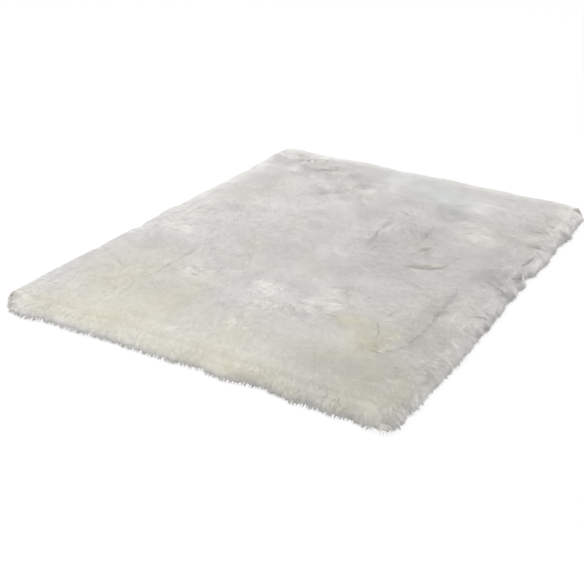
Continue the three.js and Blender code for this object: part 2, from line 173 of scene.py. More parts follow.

# Patches of colour: kind, x, y, half length along, half length across, turn, strength. Cream,
# warm, cool and pink are the fur's own colours; the lightening patches are painted light and
# the shade patches painted shade.
PATCHES = [
    ("cream", -330, -900, 420, 330, 0, 0.95), ("cream", 180, -900, 520, 240, 0, 0.85),
    ("cream", -200, -600, 170, 200, 0, 0.55), ("cream", -420, -560, 200, 180, 0, 0.55),
    ("cream", -420, -390, 230, 200, 0, 0.32), ("cream", 60, -660, 260, 160, 0, 0.4),
    ("cream", 350, -640, 240, 180, 0, 0.5), ("cream", -520, -800, 150, 120, 0, 0.4),
    ("cream", 500, -790, 200, 150, 0, 0.6), ("cream", 340, -440, 230, 150, 0, 0.3),
    ("cream", -210, -450, 130, 120, 0, 0.25), ("cream", 500, -350, 240, 420, 0, 0.12),
    ("cream", 80, -860, 340, 130, 0, 0.35), ("cream", 600, -620, 90, 200, 0, 0.22),
    ("warm", 310, -425, 80, 70, 0, 0.5), ("warm", 400, -510, 95, 85, 0, 0.6),
    ("warm", 440, -440, 70, 60, 0, 0.3), ("warm", 500, -640, 120, 120, 0, 0.25),
    ("warm", 570, -700, 60, 90, 0, 0.3), ("warm", -120, -260, 160, 90, 0, 0.15),
    ("warm", 330, 40, 90, 40, 30, 0.35), ("warm", 270, 150, 40, 60, 0, 0.25),
    ("warm", -200, -110, 70, 110, 0, 0.32), ("warm", 40, -190, 110, 60, -50, 0.2),
    ("warm", 0, -100, 60, 50, 0, 0.25), ("warm", 200, -290, 90, 60, 0, 0.22),
    ("warm", 60, -520, 160, 60, 15, 0.15), ("warm", -180, 110, 60, 60, 0, 0.15),
    ("cool", 150, 640, 200, 140, -25, 0.8), ("cool", -10, 730, 140, 90, 0, 0.55),
    ("cool", -100, 780, 100, 80, 0, 0.4), ("cool", -250, -340, 110, 60, 0, 0.2),
    ("pink", 420, 380, 180, 200, 20, 0.45), ("pink", 560, 500, 110, 350, 0, 0.4),
    ("pink", -480, 320, 180, 420, 0, 0.25), ("pink", 590, -400, 70, 300, 0, 0.25),
    ("pink", -100, 500, 120, 180, 0, 0.2),
    ("painted_light", -480, -115, 75, 45, -20, 0.2),
    ("painted_light", -410, 60, 60, 40, 30, 0.12), ("painted_light", -20, -340, 55, 40, 0, 0.13),
    ("painted_light", 190, -350, 85, 35, 10, 0.09), ("painted_light", 150, -400, 40, 60, 0, 0.1),
    ("painted_light", 250, -400, 50, 40, 0, 0.12), ("painted_light", -60, -450, 110, 35, -8, 0.15),
    ("painted_light", 60, -420, 120, 30, 5, 0.15), ("painted_light", 30, -540, 80, 40, 0, 0.14),
    ("painted_light", -20, -600, 50, 40, 20, 0.12), ("painted_light", -290, -330, 90, 40, 25, 0.15),
    ("painted_light", -210, -430, 50, 25, -20, 0.2), ("painted_light", -240, -180, 70, 40, 10, 0.1),
    ("painted_light", 410, 360, 90, 60, 0, 0.2), ("painted_light", 370, 430, 60, 40, 0, 0.12),
    ("painted_light", 350, 330, 60, 30, -20, 0.12), ("painted_light", -50, 660, 50, 200, 5, 0.2),
    ("painted_light", 10, 600, 40, 160, 0, 0.12), ("painted_light", 380, -410, 60, 50, 0, 0.05),
    ("painted_light", 590, 760, 50, 80, 10, 0.5), ("painted_light", 622, 826, 30, 34, 0, 1.0), ("painted_light", 575, 610, 45, 50, 10, 0.4),
    ("painted_light", 606, 530, 30, 42, 0, 0.5), ("painted_light", 608, 300, 20, 90, 0, 0.5),
    ("painted_light", 596, 365, 26, 22, 20, 0.3), ("painted_light", 560, -120, 50, 100, 0, 0.05),
    ("painted_light", 604, -100, 24, 55, 0, 0.4), ("painted_light", 602, -250, 22, 60, 0, 0.4),
    ("painted_light", 598, -465, 26, 50, 0, 0.35), ("painted_light", 600, 740, 60, 100, 0, 0.3),
    ("painted_light", 300, 560, 60, 160, 0, 0.15), ("painted_light", 560, 700, 70, 90, 0, 0.35),
    ("painted_light", -240, 600, 70, 60, 0, 0.45), ("painted_light", 80, 300, 60, 80, 0, 0.15),
    ("painted_light", -80, 600, 60, 90, 0, 0.2),
    ("painted_light", 550, -280, 50, 80, 0, 0.15),
    ("painted_light", -20, -420, 380, 240, 0, 0.12),
    ("painted_light", -600, 380, 45, 430, 0, 0.4), ("painted_light", -330, 830, 330, 45, 0, 0.4),
    ("painted_light", 300, 830, 360, 45, 0, 0.4), ("painted_light", -330, 220, 180, 320, 0, 0.4),
    ("painted_light", -390, -150, 140, 160, 0, 0.3), ("painted_light", -250, -690, 400, 190, 0, 0.36),
    ("painted_light", 100, -720, 280, 150, 0, 0.35), ("painted_light", 330, 620, 360, 260, 0, 0.45),
    ("painted_light", 90, 430, 260, 110, 0, 0.3), ("painted_light", -400, 480, 150, 110, 0, 0.3),
    ("painted_light", -540, 570, 110, 110, 0, 0.4), ("painted_light", -70, 480, 120, 200, 0, 0.45),
    ("painted_light", 380, 300, 160, 160, 0, 0.25), ("painted_light", -540, 160, 90, 110, 0, 0.3),
    ("painted_light", 240, -150, 120, 100, 0, 0.2),
    ("shade", -340, 700, 100, 45, 50, 0.3), ("shade", -500, 712, 70, 36, 50, 0.33),
    ("shade", -250, 640, 70, 34, 50, 0.2), ("shade", -145, 560, 66, 40, 50, 0.42),
    ("shade", -210, 480, 74, 34, 50, 0.32), ("shade", -270, 405, 76, 26, 45, 0.28),
    ("shade", -390, 640, 60, 20, 55, 0.2), ("shade", -540, 770, 60, 40, 0, 0.3),
    ("shade", 230, 510, 110, 110, 10, 0.5), ("shade", 510, 600, 60, 160, 15, 0.3),
    ("shade", 340, 400, 40, 25, 20, 0.25), ("shade", 280, 135, 28, 48, 15, 0.5),
    ("shade", 345, 28, 66, 22, 20, 0.6), ("shade", -240, -372, 34, 26, 0, 0.35),
    ("shade", 140, -455, 36, 18, -20, 0.3), ("shade", 200, -255, 45, 30, 0, 0.22),
    ("shade", 225, -290, 30, 18, 0, 0.2), ("shade", 380, -110, 60, 30, 10, 0.15),
    ("shade", 400, -170, 50, 20, 20, 0.15), ("shade", 460, -230, 40, 180, 5, 0.35),
    ("shade", 330, -360, 80, 80, 0, 0.2), ("shade", 540, 80, 100, 120, 0, 0.5),
    ("shade", 160, -80, 240, 130, 0, 0.25), ("shade", 230, 260, 110, 130, 0, 0.3),
    ("shade", -70, -60, 110, 300, 0, 0.33), ("shade", 80, 150, 110, 110, 0, 0.35),
    ("shade", 612, -800, 36, 44, -20, 0.3), ("shade", 573, -800, 24, 16, 0, 0.3),
    ("shade", 545, -832, 30, 14, 0, 0.25), ("painted_light", 584, -834, 15, 14, 0, 0.6), ("shade", 430, -680, 260, 190, 0, 0.5),
    ("shade", 634, -205, 26, 26, 30, 0.9), ("shade", 636, -265, 22, 24, 0, 0.6),
    ("shade", 634, -120, 22, 30, 0, 0.6), ("shade", 632, -40, 22, 22, 0, 0.6),
    ("shade", 630, 25, 26, 22, 20, 0.7), ("shade", 618, 130, 24, 55, 0, 0.8),
    ("shade", 588, 250, 10, 70, 0, 0.4), ("shade", 574, 392, 28, 26, 10, 0.7),
    ("shade", 520, 500, 26, 34, 10, 0.45), ("shade", 545, 540, 50, 60, 10, 0.3),
    ("shade", 530, 650, 50, 90, 10, 0.3), ("shade", 634, 575, 22, 40, 0, 0.5),
    ("shade", 622, 725, 20, 40, 0, 0.6), ("shade", 634, 450, 20, 60, 0, 0.4),
    ("shade", 612, -640, 26, 40, 0, 0.15), ("shade", -560, 720, 90, 130, 0, 0.42),
    ("shade", 500, -258, 20, 26, -20, 0.7), ("shade", 478, -125, 20, 48, 10, 0.45),
    ("shade", 390, -450, 60, 60, 0, 0.3), ("shade", 550, 10, 90, 80, 0, 0.2),
    ("shade", -250, 590, 60, 40, 0, 0.2), ("shade", 70, 20, 90, 60, 0, 0.12),
    ("shade", 480, -400, 160, 160, 0, 0.4), ("shade", 560, -540, 90, 340, 0, 0.33),
    ("shade", -600, -450, 40, 420, 0, 0.35), ("shade", 240, -470, 110, 110, 0, 0.25),
    ("shade", -500, -290, 90, 70, 0, 0.2), ("shade", -90, -320, 60, 60, 0, 0.2),
    ("painted_light", -80, 740, 90, 100, 0, 0.45), ("painted_light", -80, 610, 80, 90, 0, 0.2),
    ("painted_light", 85, 690, 110, 120, 0, 0.2), ("shade", -390, 600, 80, 80, 0, 0.22),
    ("painted_light", 550, 600, 70, 110, 0, 0.4), ("painted_light", 550, 450, 70, 90, 0, 0.25),
    ("painted_light", -240, 300, 110, 110, 0, 0.3), ("painted_light", -550, 0, 80, 90, 0, 0.1),
    ("shade", 240, 10, 110, 100, 0, 0.15), ("shade", 80, -150, 110, 110, 0, 0.3),
    ("shade", 545, -750, 80, 70, 0, 0.25), ("shade", 550, -160, 60, 60, 0, 0.1),
    ("shade", 310, 20, 60, 28, 10, 0.35), ("shade", -390, 150, 90, 80, 0, 0.2),
    ("shade", -80, 150, 80, 80, 0, 0.24), ("painted_light", -390, 450, 90, 90, 0, 0.2),
]

# ---- smooth noise ----------------------------------------------------------------------


def noise(x, y, size, seed):
    """Smooth random heights, -1 to 1, with lumps about this size in millimetres."""
    rng = np.random.default_rng(seed)
    lattice = rng.uniform(-1, 1, (64, 64))
    u, v = x / size, y / size
    i, j = np.floor(u).astype(int), np.floor(v).astype(int)
    fu, fv = u - i, v - j
    fu, fv = fu * fu * fu * (fu * (fu * 6 - 15) + 10), fv * fv * fv * (fv * (fv * 6 - 15) + 10)
    a = lattice[i % 64, j % 64]
    b = lattice[(i + 1) % 64, j % 64]
    c = lattice[i % 64, (j + 1) % 64]
    d = lattice[(i + 1) % 64, (j + 1) % 64]
    return (a * (1 - fu) + b * fu) * (1 - fv) + (c * (1 - fu) + d * fu) * fv


def turned_noise(x, y, size, seed):
    """Noise on a turned lattice, so that its squares don't line up with the rug."""
    c, s = math.cos(0.6 + seed), math.sin(0.6 + seed)
    return noise(x * c - y * s + 913.0 * seed, x * s + y * c - 517.0 * seed, size, seed)


def smooth(t):
    t = np.clip(t, 0, 1)
    return t * t * (3 - 2 * t)


def hump(t):
    return smooth(1 - np.abs(t))


# ---- the rug's form --------------------------------------------------------------------


def bulge(edge, at):
    total = np.zeros_like(at)
    for name, middle, half, out in BULGES:
        if name == edge:
            total += out * hump((at - middle) / half)
    return total


def edged(x, y):
    """Moves points of the plain rounded rectangle outwards by the edge's bulges."""
    right = smooth(1 - (WIDTH / 2 - x) / EDGE_REACH)
    left = smooth(1 - (WIDTH / 2 + x) / EDGE_REACH)
    back = smooth(1 - (LENGTH / 2 - y) / EDGE_REACH)
    front = smooth(1 - (LENGTH / 2 + y) / EDGE_REACH)
    return (
        x + right * bulge("right", y) - left * bulge("left", y),
        y + back * bulge("back", x) - front * bulge("front", x),
    )


def crease_bend(x, y):
    return 6 * turned_noise(x, y, 46, 41) + 2.5 * turned_noise(x, y, 17, 42)


def crease_place(crease, x, y):
    """How far to the side of a crease each point is, and how strong the crease is there."""
    x1, y1, x2, y2, half, depth, ridge, warm, dark = crease
    ex, ey = x2 - x1, y2 - y1
    length = math.hypot(ex, ey)
    along = ((x - x1) * ex + (y - y1) * ey) / length**2
    side = (-(x - x1) * ey + (y - y1) * ex) / length
    side = side + crease_bend(x, y)
    ends = smooth(1 - np.maximum(np.maximum(-along, along - 1), 0) * (length / (2 * half)))
    ends = ends * (0.7 + 0.3 * turned_noise(x, y, 24, 43))
    return side, ends, half, depth, ridge, warm, dark


def ellipse(x, y, cx, cy, along, across, turn):
    """1 at the middle of a turned ellipse, falling smoothly to 0 at its rim."""
    t = math.radians(turn)
    dx, dy = x - cx, y - cy
    a = (dx * math.cos(t) + dy * math.sin(t)) / along
    b = (-dx * math.sin(t) + dy * math.cos(t)) / across
    return hump(np.minimum(np.hypot(a, b), 1))


def ruffled(x, y):
    total = np.zeros_like(x)
    for cx, cy, along, across, turn, much in RUFFLES:
        total = 1 - (1 - total) * (1 - much * ellipse(x, y, cx, cy, along, across, turn))
    return total


def puffs(x, y):
    """Puffy lumps with narrow gaps between them, about -1 to 1."""
    wx = x + 16 * turned_noise(x, y, 62, 81) + 6 * turned_noise(x, y, 23, 82)
    wy = y + 16 * turned_noise(x, y, 62, 83) + 6 * turned_noise(x, y, 23, 84)
    total = 1.5 * np.abs(turned_noise(wx, wy, 40, 85)) + 0.9 * np.abs(turned_noise(wx, wy, 19, 86))
    total += 0.5 * np.abs(turned_noise(wx, wy, 10, 87))
    return total / 0.62 - 1.25


def near_side(x, y, start, reach):
    """1 within start of the right side, falling to 0 over the reach; and the same for the front."""
    return (
        smooth(1 - (WIDTH / 2 - x - start) / reach),
        smooth(1 - (LENGTH / 2 + y - start) / reach),
    )


def tongues(x, y):
    """Long lumps that run out over the drooping sides, with narrow gaps between them."""
    right, front = near_side(x, y, 20, 130)
    wx = x + 10 * turned_noise(x, y, 50, 95)
    wy = y + 10 * turned_noise(x, y, 50, 96)
    out = np.zeros_like(x)
    for weight, u, v in ((right, wx, wy), (0.1 * front, wy, wx)):
        lumps = 1.5 * np.abs(noise(u * 0.35, v, 44, 97)) + 0.9 * np.abs(noise(u * 0.3, v, 17, 98))
        out = out + weight * (np.minimum(lumps / 0.6, 1.6) ** 0.7 - 0.95)
    return out


def streaks(x, y):
    """Fine light and dark streaks that run out over the right side."""
    right = near_side(x, y, -30, 90)[0]
    wx, wy = x * 0.14, y + 5 * turned_noise(x, y, 60, 75)
    fine = noise(wx, wy, 4.6, 76) + 0.6 * noise(wx, wy, 11, 77)
    strong = 0.05 + 0.17 * np.exp(-(((y + 740) / 80) ** 2)) + 0.03 * np.exp(-(((y + 200) / 200) ** 2))
    return right * strong * fine


def pile_top(x, y):
    """Height of the lying pile over the plan: the CAD model's form, with finer lumps."""
    z = np.full_like(x, PILE_TOP)
    for mx, my, along, across, turn, rise in MOUNDS:
        z += rise * ellipse(x, y, mx, my, along, across, turn)
    for crease in CREASES:
        side, ends, half, depth, ridge, warm, dark = crease_place(crease, x, y)
        z -= ends * depth * (0.4 * hump(side / (0.45 * half)) + 0.6 * hump(side / half))
        z += ends * ridge * hump((side - 0.9 * half) / half)
    rough = ruffled(x, y)
    z += 1.0 * turned_noise(x, y, 120, 5) + 0.15 * turned_noise(x, y, 42, 6)
    z += 0.9 * rough * puffs(x, y)
    right, front = near_side(x, y, 15, 85)
    z -= 6 * (1 - (1 - right) * (1 - front))
    z += 2.0 * tongues(x, y)
    return z


class Grid:
    """A function of the plan, kept on a fine grid and read between its points."""

    STEP = 2.5

    def __init__(self, values):
        self.values = values

    @classmethod
    def axes(cls):
        xs = np.arange(-WIDTH / 2 - 100, WIDTH / 2 + 101, cls.STEP)
        ys = np.arange(-LENGTH / 2 - 100, LENGTH / 2 + 101, cls.STEP)
        return np.meshgrid(xs, ys, indexing="ij")

    def __call__(self, x, y):
        v = self.values
        u = np.clip((x + WIDTH / 2 + 100) / self.STEP, 0, v.shape[0] - 1.001)
        w = np.clip((y + LENGTH / 2 + 100) / self.STEP, 0, v.shape[1] - 1.001)
        i, j = u.astype(int), w.astype(int)
        fu, fw = u - i, w - j
        return (v[i, j] * (1 - fu) + v[i + 1, j] * fu) * (1 - fw) + (
            v[i, j + 1] * (1 - fu) + v[i + 1, j + 1] * fu
        ) * fw


gx, gy = Grid.axes()
top_values = pile_top(gx, gy)
top_grid = Grid(top_values)
slope = np.gradient(top_values, Grid.STEP)
slope_x, slope_y = Grid(slope[0]), Grid(slope[1])

# The sections as curves: e runs outwards along them from where they leave the flat top,
# and both reach the floor at FLOOR_E.
E = np.linspace(0, FLOOR_E + 44, 260)


def section_curve(rows):
    inset, share = np.array(rows, float).T
    out = CORNER_RADIUS - inset
    e = np.concatenate([[0], np.cumsum(np.hypot(np.diff(out), np.diff(share * PILE_TOP)))])
    e *= FLOOR_E / e[share >= 0.125][-1]
    kernel = np.hanning(19) / np.hanning(19).sum()
    curves = []
    for values in (out, share):
        line = np.interp(E, e, values)
        padded = np.concatenate([np.full(9, line[0]), line, np.full(9, line[-1])])
        curves.append(np.convolve(padded, kernel, "valid"))
    curves[0][0], curves[1][0] = 0.0, 1.0
    return curves


DROOP_OUT, DROOP_SHARE = section_curve(DROOPING)
FULL_OUT, FULL_SHARE = section_curve(FULL)


def droop(nx, ny):
    """How much of the drooping section an edge facing this way has."""
    return smooth(0.5 + 0.5 * (nx - ny))


def split(x, y):
    """The nearest point of the inner rectangle, the way out from it, and how far out."""
    cx = np.clip(x, -(WIDTH / 2 - CORNER_RADIUS), WIDTH / 2 - CORNER_RADIUS)
    cy = np.clip(y, -(LENGTH / 2 - CORNER_RADIUS), LENGTH / 2 - CORNER_RADIUS)
    dx, dy = x - cx, y - cy
    e = np.hypot(dx, dy)
    safe = np.maximum(e, 1e-6)
    return cx, cy, dx / safe, dy / safe, e


def along_section(distance, nx, ny):
    """From a distance out in the plan to the distance along the section, near the top."""
    w = droop(nx, ny)
    k = int(np.argmax(DROOP_OUT > 36))
    m = int(np.argmax(FULL_OUT > 36))
    return w * np.interp(distance, DROOP_OUT[:k], E[:k]) + (1 - w) * np.interp(
        distance, FULL_OUT[:m], E[:m]
    )


def unrolled(x, y):
    """A point of the plan, moved to where it lies on the surface unrolled flat."""
    cx, cy, nx, ny, d = split(x, y)
    e = along_section(d, nx, ny)
    return cx + nx * e, cy + ny * e


def placed(x, y, depth):
    """Points and normals in space for points of the unrolled surface, this far below it."""
    cx, cy, nx, ny, e = split(x, y)
    w = droop(nx, ny)

    def at(curve_droop, curve_full, where):
        return w * np.interp(where, E, curve_droop) + (1 - w) * np.interp(where, E, curve_full)

    out = at(DROOP_OUT, FULL_OUT, e)
    share = at(DROOP_SHARE, FULL_SHARE, e)
    slope_out = at(DROOP_OUT, FULL_OUT, e + 2) - at(DROOP_OUT, FULL_OUT, e - 2)
    slope_up = (at(DROOP_SHARE, FULL_SHARE, e + 2) - at(DROOP_SHARE, FULL_SHARE, e - 2)) * PILE_TOP
    px, py = cx + nx * out, cy + ny * out
    top = top_grid(px, py)
    size = np.maximum(np.hypot(slope_out, slope_up), 1e-6)
    outward, upward = -slope_up / size, slope_out / size
    flat = e <= 1e-4
    outward, upward = np.where(flat, 0, outward), np.where(flat, 1, upward)
    sx, sy = slope_x(px, py) * share, slope_y(px, py) * share
    normal = np.stack([nx * outward - sx * upward, ny * outward - sy * upward, upward], 1)
    normal /= np.maximum(np.linalg.norm(normal, axis=1, keepdims=True), 1e-9)
    bx, by = edged(px, py)
    point = np.stack([bx, by, top * share], 1) - normal * depth[:, None]
    return point, normal


# ---- fields over the plan --------------------------------------------------------------


def lay_field(x, y):
    """The way the pile lies, as a unit vector, before single locks stray from it."""
    vx, vy, total = np.zeros_like(x), np.zeros_like(x), np.full_like(x, 1e-6)
    for lx, ly, angle, reach in LAY:
        w = np.exp(-((x - lx) ** 2 + (y - ly) ** 2) / (0.55 * reach) ** 2)
        vx += w * math.cos(math.radians(angle))
        vy += w * math.sin(math.radians(angle))
        total += w
    vx, vy = vx / total, vy / total
    angle = np.arctan2(vy, vx)
    angle += 0.2 * turned_noise(x, y, 130, 11)
    angle += (0.06 + 0.36 * ruffled(x, y)) * turned_noise(x, y, 48, 12)
    angle += 0.2 * ruffled(x, y) * turned_noise(x, y, 20, 13)
    for sx, sy, reach, turn in SWIRLS:
        r = np.hypot(x - sx, y - sy) / reach
        angle += math.radians(turn) * hump(np.minimum(r, 1))
    vx, vy = np.cos(angle), np.sin(angle)
    # near the edge it turns outwards and hangs over
    cx, cy, nx, ny, e = split(x, y)
    inner = np.maximum(np.abs(x) - (WIDTH / 2 - 95), 0) / 60
    inner2 = np.maximum(np.abs(y) - (LENGTH / 2 - 95), 0) / 60
    ox = np.sign(x) * smooth(inner) + nx * (e > 0)
    oy = np.sign(y) * smooth(inner2) + ny * (e > 0)
    vx += 2.2 * ox
    vy += 2.2 * oy
    size = np.maximum(np.hypot(vx, vy), 1e-6)
    return vx / size, vy / size


lay_values = lay_field(gx, gy)
lay_x, lay_y = Grid(lay_values[0]), Grid(lay_values[1])


def patch(kind, x, y):
    dx = 22 * turned_noise(x, y, 70, 21) + 11 * turned_noise(x, y, 28, 22)
    dy = 22 * turned_noise(x, y, 70, 23) + 11 * turned_noise(x, y, 28, 24)
    dx = dx + 5 * turned_noise(x, y, 12, 25)
    dy = dy + 5 * turned_noise(x, y, 12, 26)
    total = np.zeros_like(x)
    for name, px, py, along, across, turn, strength in PATCHES:
        if name != kind:
            continue
        t = math.radians(turn)
        # the smaller the patch, the less it bends
        bend = min(1, 0.15 + min(along, across) / 50)
        a = ((x + bend * dx - px) * math.cos(t) + (y + bend * dy - py) * math.sin(t)) / along
        b = (-(x + bend * dx - px) * math.sin(t) + (y + bend * dy - py) * math.cos(t)) / across
        # small patches of light are flat in the middle and end fairly sharply; others fade away
        sharp = 1 + 1.3 * min(max((130 - max(along, across)) / 80, 0), 1)
        if kind in ("cream", "warm"):
            sharp = 1.0
        total = 1 - (1 - total) * (1 - strength * smooth(sharp * (1 - np.hypot(a, b))))
    return total


def crease_warmth_and_shade(x, y):
    """Where the pile parts and its creamy roots show, and the painted shade along it (painted light where the darkness
    is below 0).
    """
    total, shade = np.zeros_like(x), np.zeros_like(x)
    for crease in CREASES:
        side, ends, half, depth, ridge, warm, dark = crease_place(crease, x, y)
        total = np.maximum(total, warm * ends * hump(side / (0.55 * half)))
        here = dark * ends * hump(side / (0.5 * half))
        shade = np.where(np.abs(here) > np.abs(shade), here, shade)
    uneven = 0.75 + 0.35 * turned_noise(x, y, 15, 44)
    return total * uneven, shade * uneven


# How bright the pile is painted towards each side, painted light above 1 and painted shade
# below: side, place along it, and a factor at each of these distances outwards along the
# surface from where it leaves the flat top.
EDGE_AT = (-60, -30, 0, 15, 25, 35, 45, 52, 58, 64, 70)
EDGE_PAINTED_LIGHT = [
    ("front", -600, 0.975, 0.975, 0.985, 0.96, 0.995, 1.03, 1.07, 1.06, 1.035, 0.92, 0.80),
    ("front", -200, 0.985, 1.005, 1.0, 0.96, 0.985, 1.015, 1.07, 1.07, 1.035, 0.935, 0.82),
    ("front", 100, 0.99, 1.01, 1.0, 0.965, 0.98, 1.01, 1.03, 1.035, 1.0, 0.925, 0.84),
    ("front", 280, 0.96, 0.955, 0.92, 0.90, 0.90, 0.90, 0.865, 0.84, 0.82, 0.85, 0.88),
    ("front", 560, 0.96, 0.955, 0.91, 0.89, 0.89, 0.885, 0.85, 0.82, 0.82, 0.84, 0.88),
    ("right", -820, 1.0, 1.0, 0.98, 0.97, 0.97, 0.99, 1.06, 1.12, 1.14, 1.05, 0.88),
    ("right", -500, 1.0, 1.0, 0.99, 0.98, 0.99, 1.01, 1.09, 1.14, 1.14, 1.05, 0.88),
    ("right", -350, 1.0, 0.99, 0.98, 0.98, 1.0, 1.03, 1.11, 1.17, 1.14, 1.04, 0.88),
    ("right", 50, 1.0, 0.99, 0.98, 0.98, 1.0, 1.03, 1.11, 1.17, 1.14, 1.03, 0.87),
    ("right", 250, 1.0, 1.01, 1.02, 1.03, 1.07, 1.13, 1.20, 1.22, 1.17, 1.0, 0.88),
    ("right", 800, 1.0, 1.01, 1.02, 1.03, 1.07, 1.13, 1.20, 1.22, 1.17, 1.0, 0.88),
    ("left", -800, 1.0, 0.99, 1.0, 1.02, 1.02, 1.0, 0.98, 0.97, 0.95, 0.91, 0.88),
    ("left", -100, 1.0, 0.99, 1.0, 1.03, 1.04, 1.04, 1.04, 1.03, 1.0, 0.95, 0.92),
    ("left", 100, 1.0, 1.0, 1.02, 1.05, 1.06, 1.06, 1.06, 1.04, 1.0, 0.95, 0.92),
    ("left", 800, 1.0, 1.0, 1.02, 1.05, 1.06, 1.06, 1.06, 1.04, 1.0, 0.95, 0.92),
    ("back", -600, 0.98, 0.99, 1.05, 1.12, 1.14, 1.13, 1.10, 1.05, 1.0, 0.95, 0.92),
    ("back", 600, 1.0, 1.0, 1.03, 1.06, 1.08, 1.09, 1.08, 1.05, 1.0, 0.95, 0.92),
]


def edge_painted_light(x, y):
    """The table's factor of painted light and shade at points of the unrolled surface, blended from side to side."""
    out = np.clip(CORNER_RADIUS - inset_of(x, y), EDGE_AT[0], EDGE_AT[-1] - 0.01)
    k = np.searchsorted(EDGE_AT, out, side="right") - 1
    knots = np.array(EDGE_AT, float)
    f = (out - knots[k]) / (knots[k + 1] - knots[k])
    total, weights = np.zeros_like(x), np.full_like(x, 1e-12)
    nearest = np.maximum(np.abs(x) - WIDTH / 2, np.abs(y) - LENGTH / 2)
    for side, past, along in (
        ("right", x - WIDTH / 2, y), ("left", -x - WIDTH / 2, y),
        ("back", y - LENGTH / 2, x), ("front", -y - LENGTH / 2, x),
    ):
        rows = [row for row in EDGE_PAINTED_LIGHT if row[0] == side]
        places = np.array([row[1] for row in rows], float)
        table = np.array([row[2:] for row in rows], float)
        at = np.clip(along, places[0], places[-1] - 0.01)
        j = np.searchsorted(places, at, side="right") - 1
        g = (at - places[j]) / (places[j + 1] - places[j])
        low = table[j, k] * (1 - f) + table[j, k + 1] * f
        high = table[j + 1, k] * (1 - f) + table[j + 1, k + 1] * f
        weight = np.exp(np.maximum((past - nearest) / 16, -60))
        total += weight * (low * (1 - g) + high * g)
        weights += weight
    return total / weights


def soft(x, y):
    """Where ruffled pile is soft: everywhere but at the back right."""
    return 1 - smooth((x - 250) / 150) * smooth((y - 150) / 200)


def calm(x, y):
    """Where the pile lies smoothest: towards the front."""
    return smooth((-430 - y) / 160) * (1 - 0.5 * smooth((x - 520) / 60))


# Grids of the fur's tints, and of the painted light and painted shade patches.
tints_and_painted_light = {
    kind: Grid(patch(kind, gx, gy)) for kind in ("cream", "warm", "cool", "pink", "painted_light", "shade")
}
crease_values, crease_shade = crease_warmth_and_shade(gx, gy)
warmth_values = np.clip(tints_and_painted_light["warm"].values + 0.45 * crease_values, 0, 1)
tints_and_painted_light["warm"] = Grid(warmth_values)
ruffle_values = ruffled(gx, gy)
ruffle_grid = Grid(ruffle_values)
# Painted light on the ruffled puffs and painted shade in the gaps between them, with random tone over the rest.
painted_shading_and_tone = (0.06 - 0.012 * soft(gx, gy)) * ruffle_values * puffs(gx, gy)
painted_shading_and_tone *= 1 - 0.35 * smooth((gy - 380) / 120) * smooth((50 - gx) / 120)
painted_shading_and_tone += (1 - 0.9 * calm(gx, gy)) * (
    0.017 * turned_noise(gx, gy, 75, 91) + 0.02 * turned_noise(gx, gy, 31, 92)
    + 0.018 * turned_noise(gx, gy, 15, 93)
)
# Painted light on the tops of the lobes over the right side and painted shade in the gaps below them, and fine streaks
# there.
painted_shading_and_tone += (0.09 - 0.06 * np.exp(-(((gy + 760) / 120) ** 2))) * tongues(gx, gy) + streaks(gx, gy)
# Painted shade along the creases, where the warm roots show, and painted light along the ridge line.
painted_shading_and_tone -= 0.07 * crease_values + 0.12 * crease_shade
# Brightness: painted light less painted shade from the patches, with the painted shading and tone above.
light_grid = Grid(0.26 * (tints_and_painted_light["painted_light"].values - tints_and_painted_light["shade"].values) + painted_shading_and_tone)

# ---- locks -----------------------------------------------------------------------------


class Locks:
    """Where the pile is gathered: the middle of each lock and how it differs from the rest."""

    def __init__(self, size, seed):
        self.size, self.seed = size, seed
        rng = np.random.default_rng(seed)
        self.n = (int(2 * (WIDTH / 2 + 120) / size) + 3, int(2 * (LENGTH / 2 + 120) / size) + 3)
        i, j = np.meshgrid(np.arange(self.n[0]), np.arange(self.n[1]), indexing="ij")
        self.x = (i + rng.uniform(0.1, 0.9, self.n)) * size - WIDTH / 2 - 120
        self.y = (j + rng.uniform(0.1, 0.9, self.n)) * size - LENGTH / 2 - 120
        self.turn = rng.normal(0, 1, self.n)
        self.reach = rng.uniform(-1, 1, self.n)
        self.lift = rng.uniform(-1, 1, self.n)
        self.tone = rng.uniform(-1, 1, self.n)
        self.tail = rng.exponential(1, self.n)

    def nearest(self, x, y):
        i0 = np.floor((x + WIDTH / 2 + 120) / self.size).astype(int)
        j0 = np.floor((y + LENGTH / 2 + 120) / self.size).astype(int)
        best = np.full(x.shape, 1e18)
        bi, bj = i0.copy(), j0.copy()
        for di in (-1, 0, 1):
            for dj in (-1, 0, 1):
                i = np.clip(i0 + di, 0, self.n[0] - 1)
                j = np.clip(j0 + dj, 0, self.n[1] - 1)
                d = (self.x[i, j] - x) ** 2 + (self.y[i, j] - y) ** 2
                closer = d < best
                best = np.where(closer, d, best)
                bi, bj = np.where(closer, i, bi), np.where(closer, j, bj)
        return bi, bj


small_locks = Locks(8.0, 101)
edge_locks = Locks(9.0, 103)
large_locks = Locks(38.0, 102)


def rotated(x, y, angle):
    c, s = np.cos(angle), np.sin(angle)
    return x * c - y * s, x * s + y * c


def scattered(x0, x1, y0, y1, spacing, rng):
    """Points spread evenly over a rectangle, each a little off its place."""
    nx, ny = max(1, round((x1 - x0) / spacing)), max(1, round((y1 - y0) / spacing))
    i, j = np.meshgrid(np.arange(nx), np.arange(ny), indexing="ij")
    x = x0 + (i + rng.uniform(0, 1, i.shape)) * (x1 - x0) / nx
    y = y0 + (j + rng.uniform(0, 1, i.shape)) * (y1 - y0) / ny
    return x.ravel(), y.ravel()


def inset_of(x, y):
    """How far a point of the plan lies inside the rounded outline."""
    cx, cy, nx, ny, e = split(x, y)
    inner = np.minimum(WIDTH / 2 - np.abs(x), LENGTH / 2 - np.abs(y))
    return np.where(e > 0, CORNER_RADIUS - e, inner)


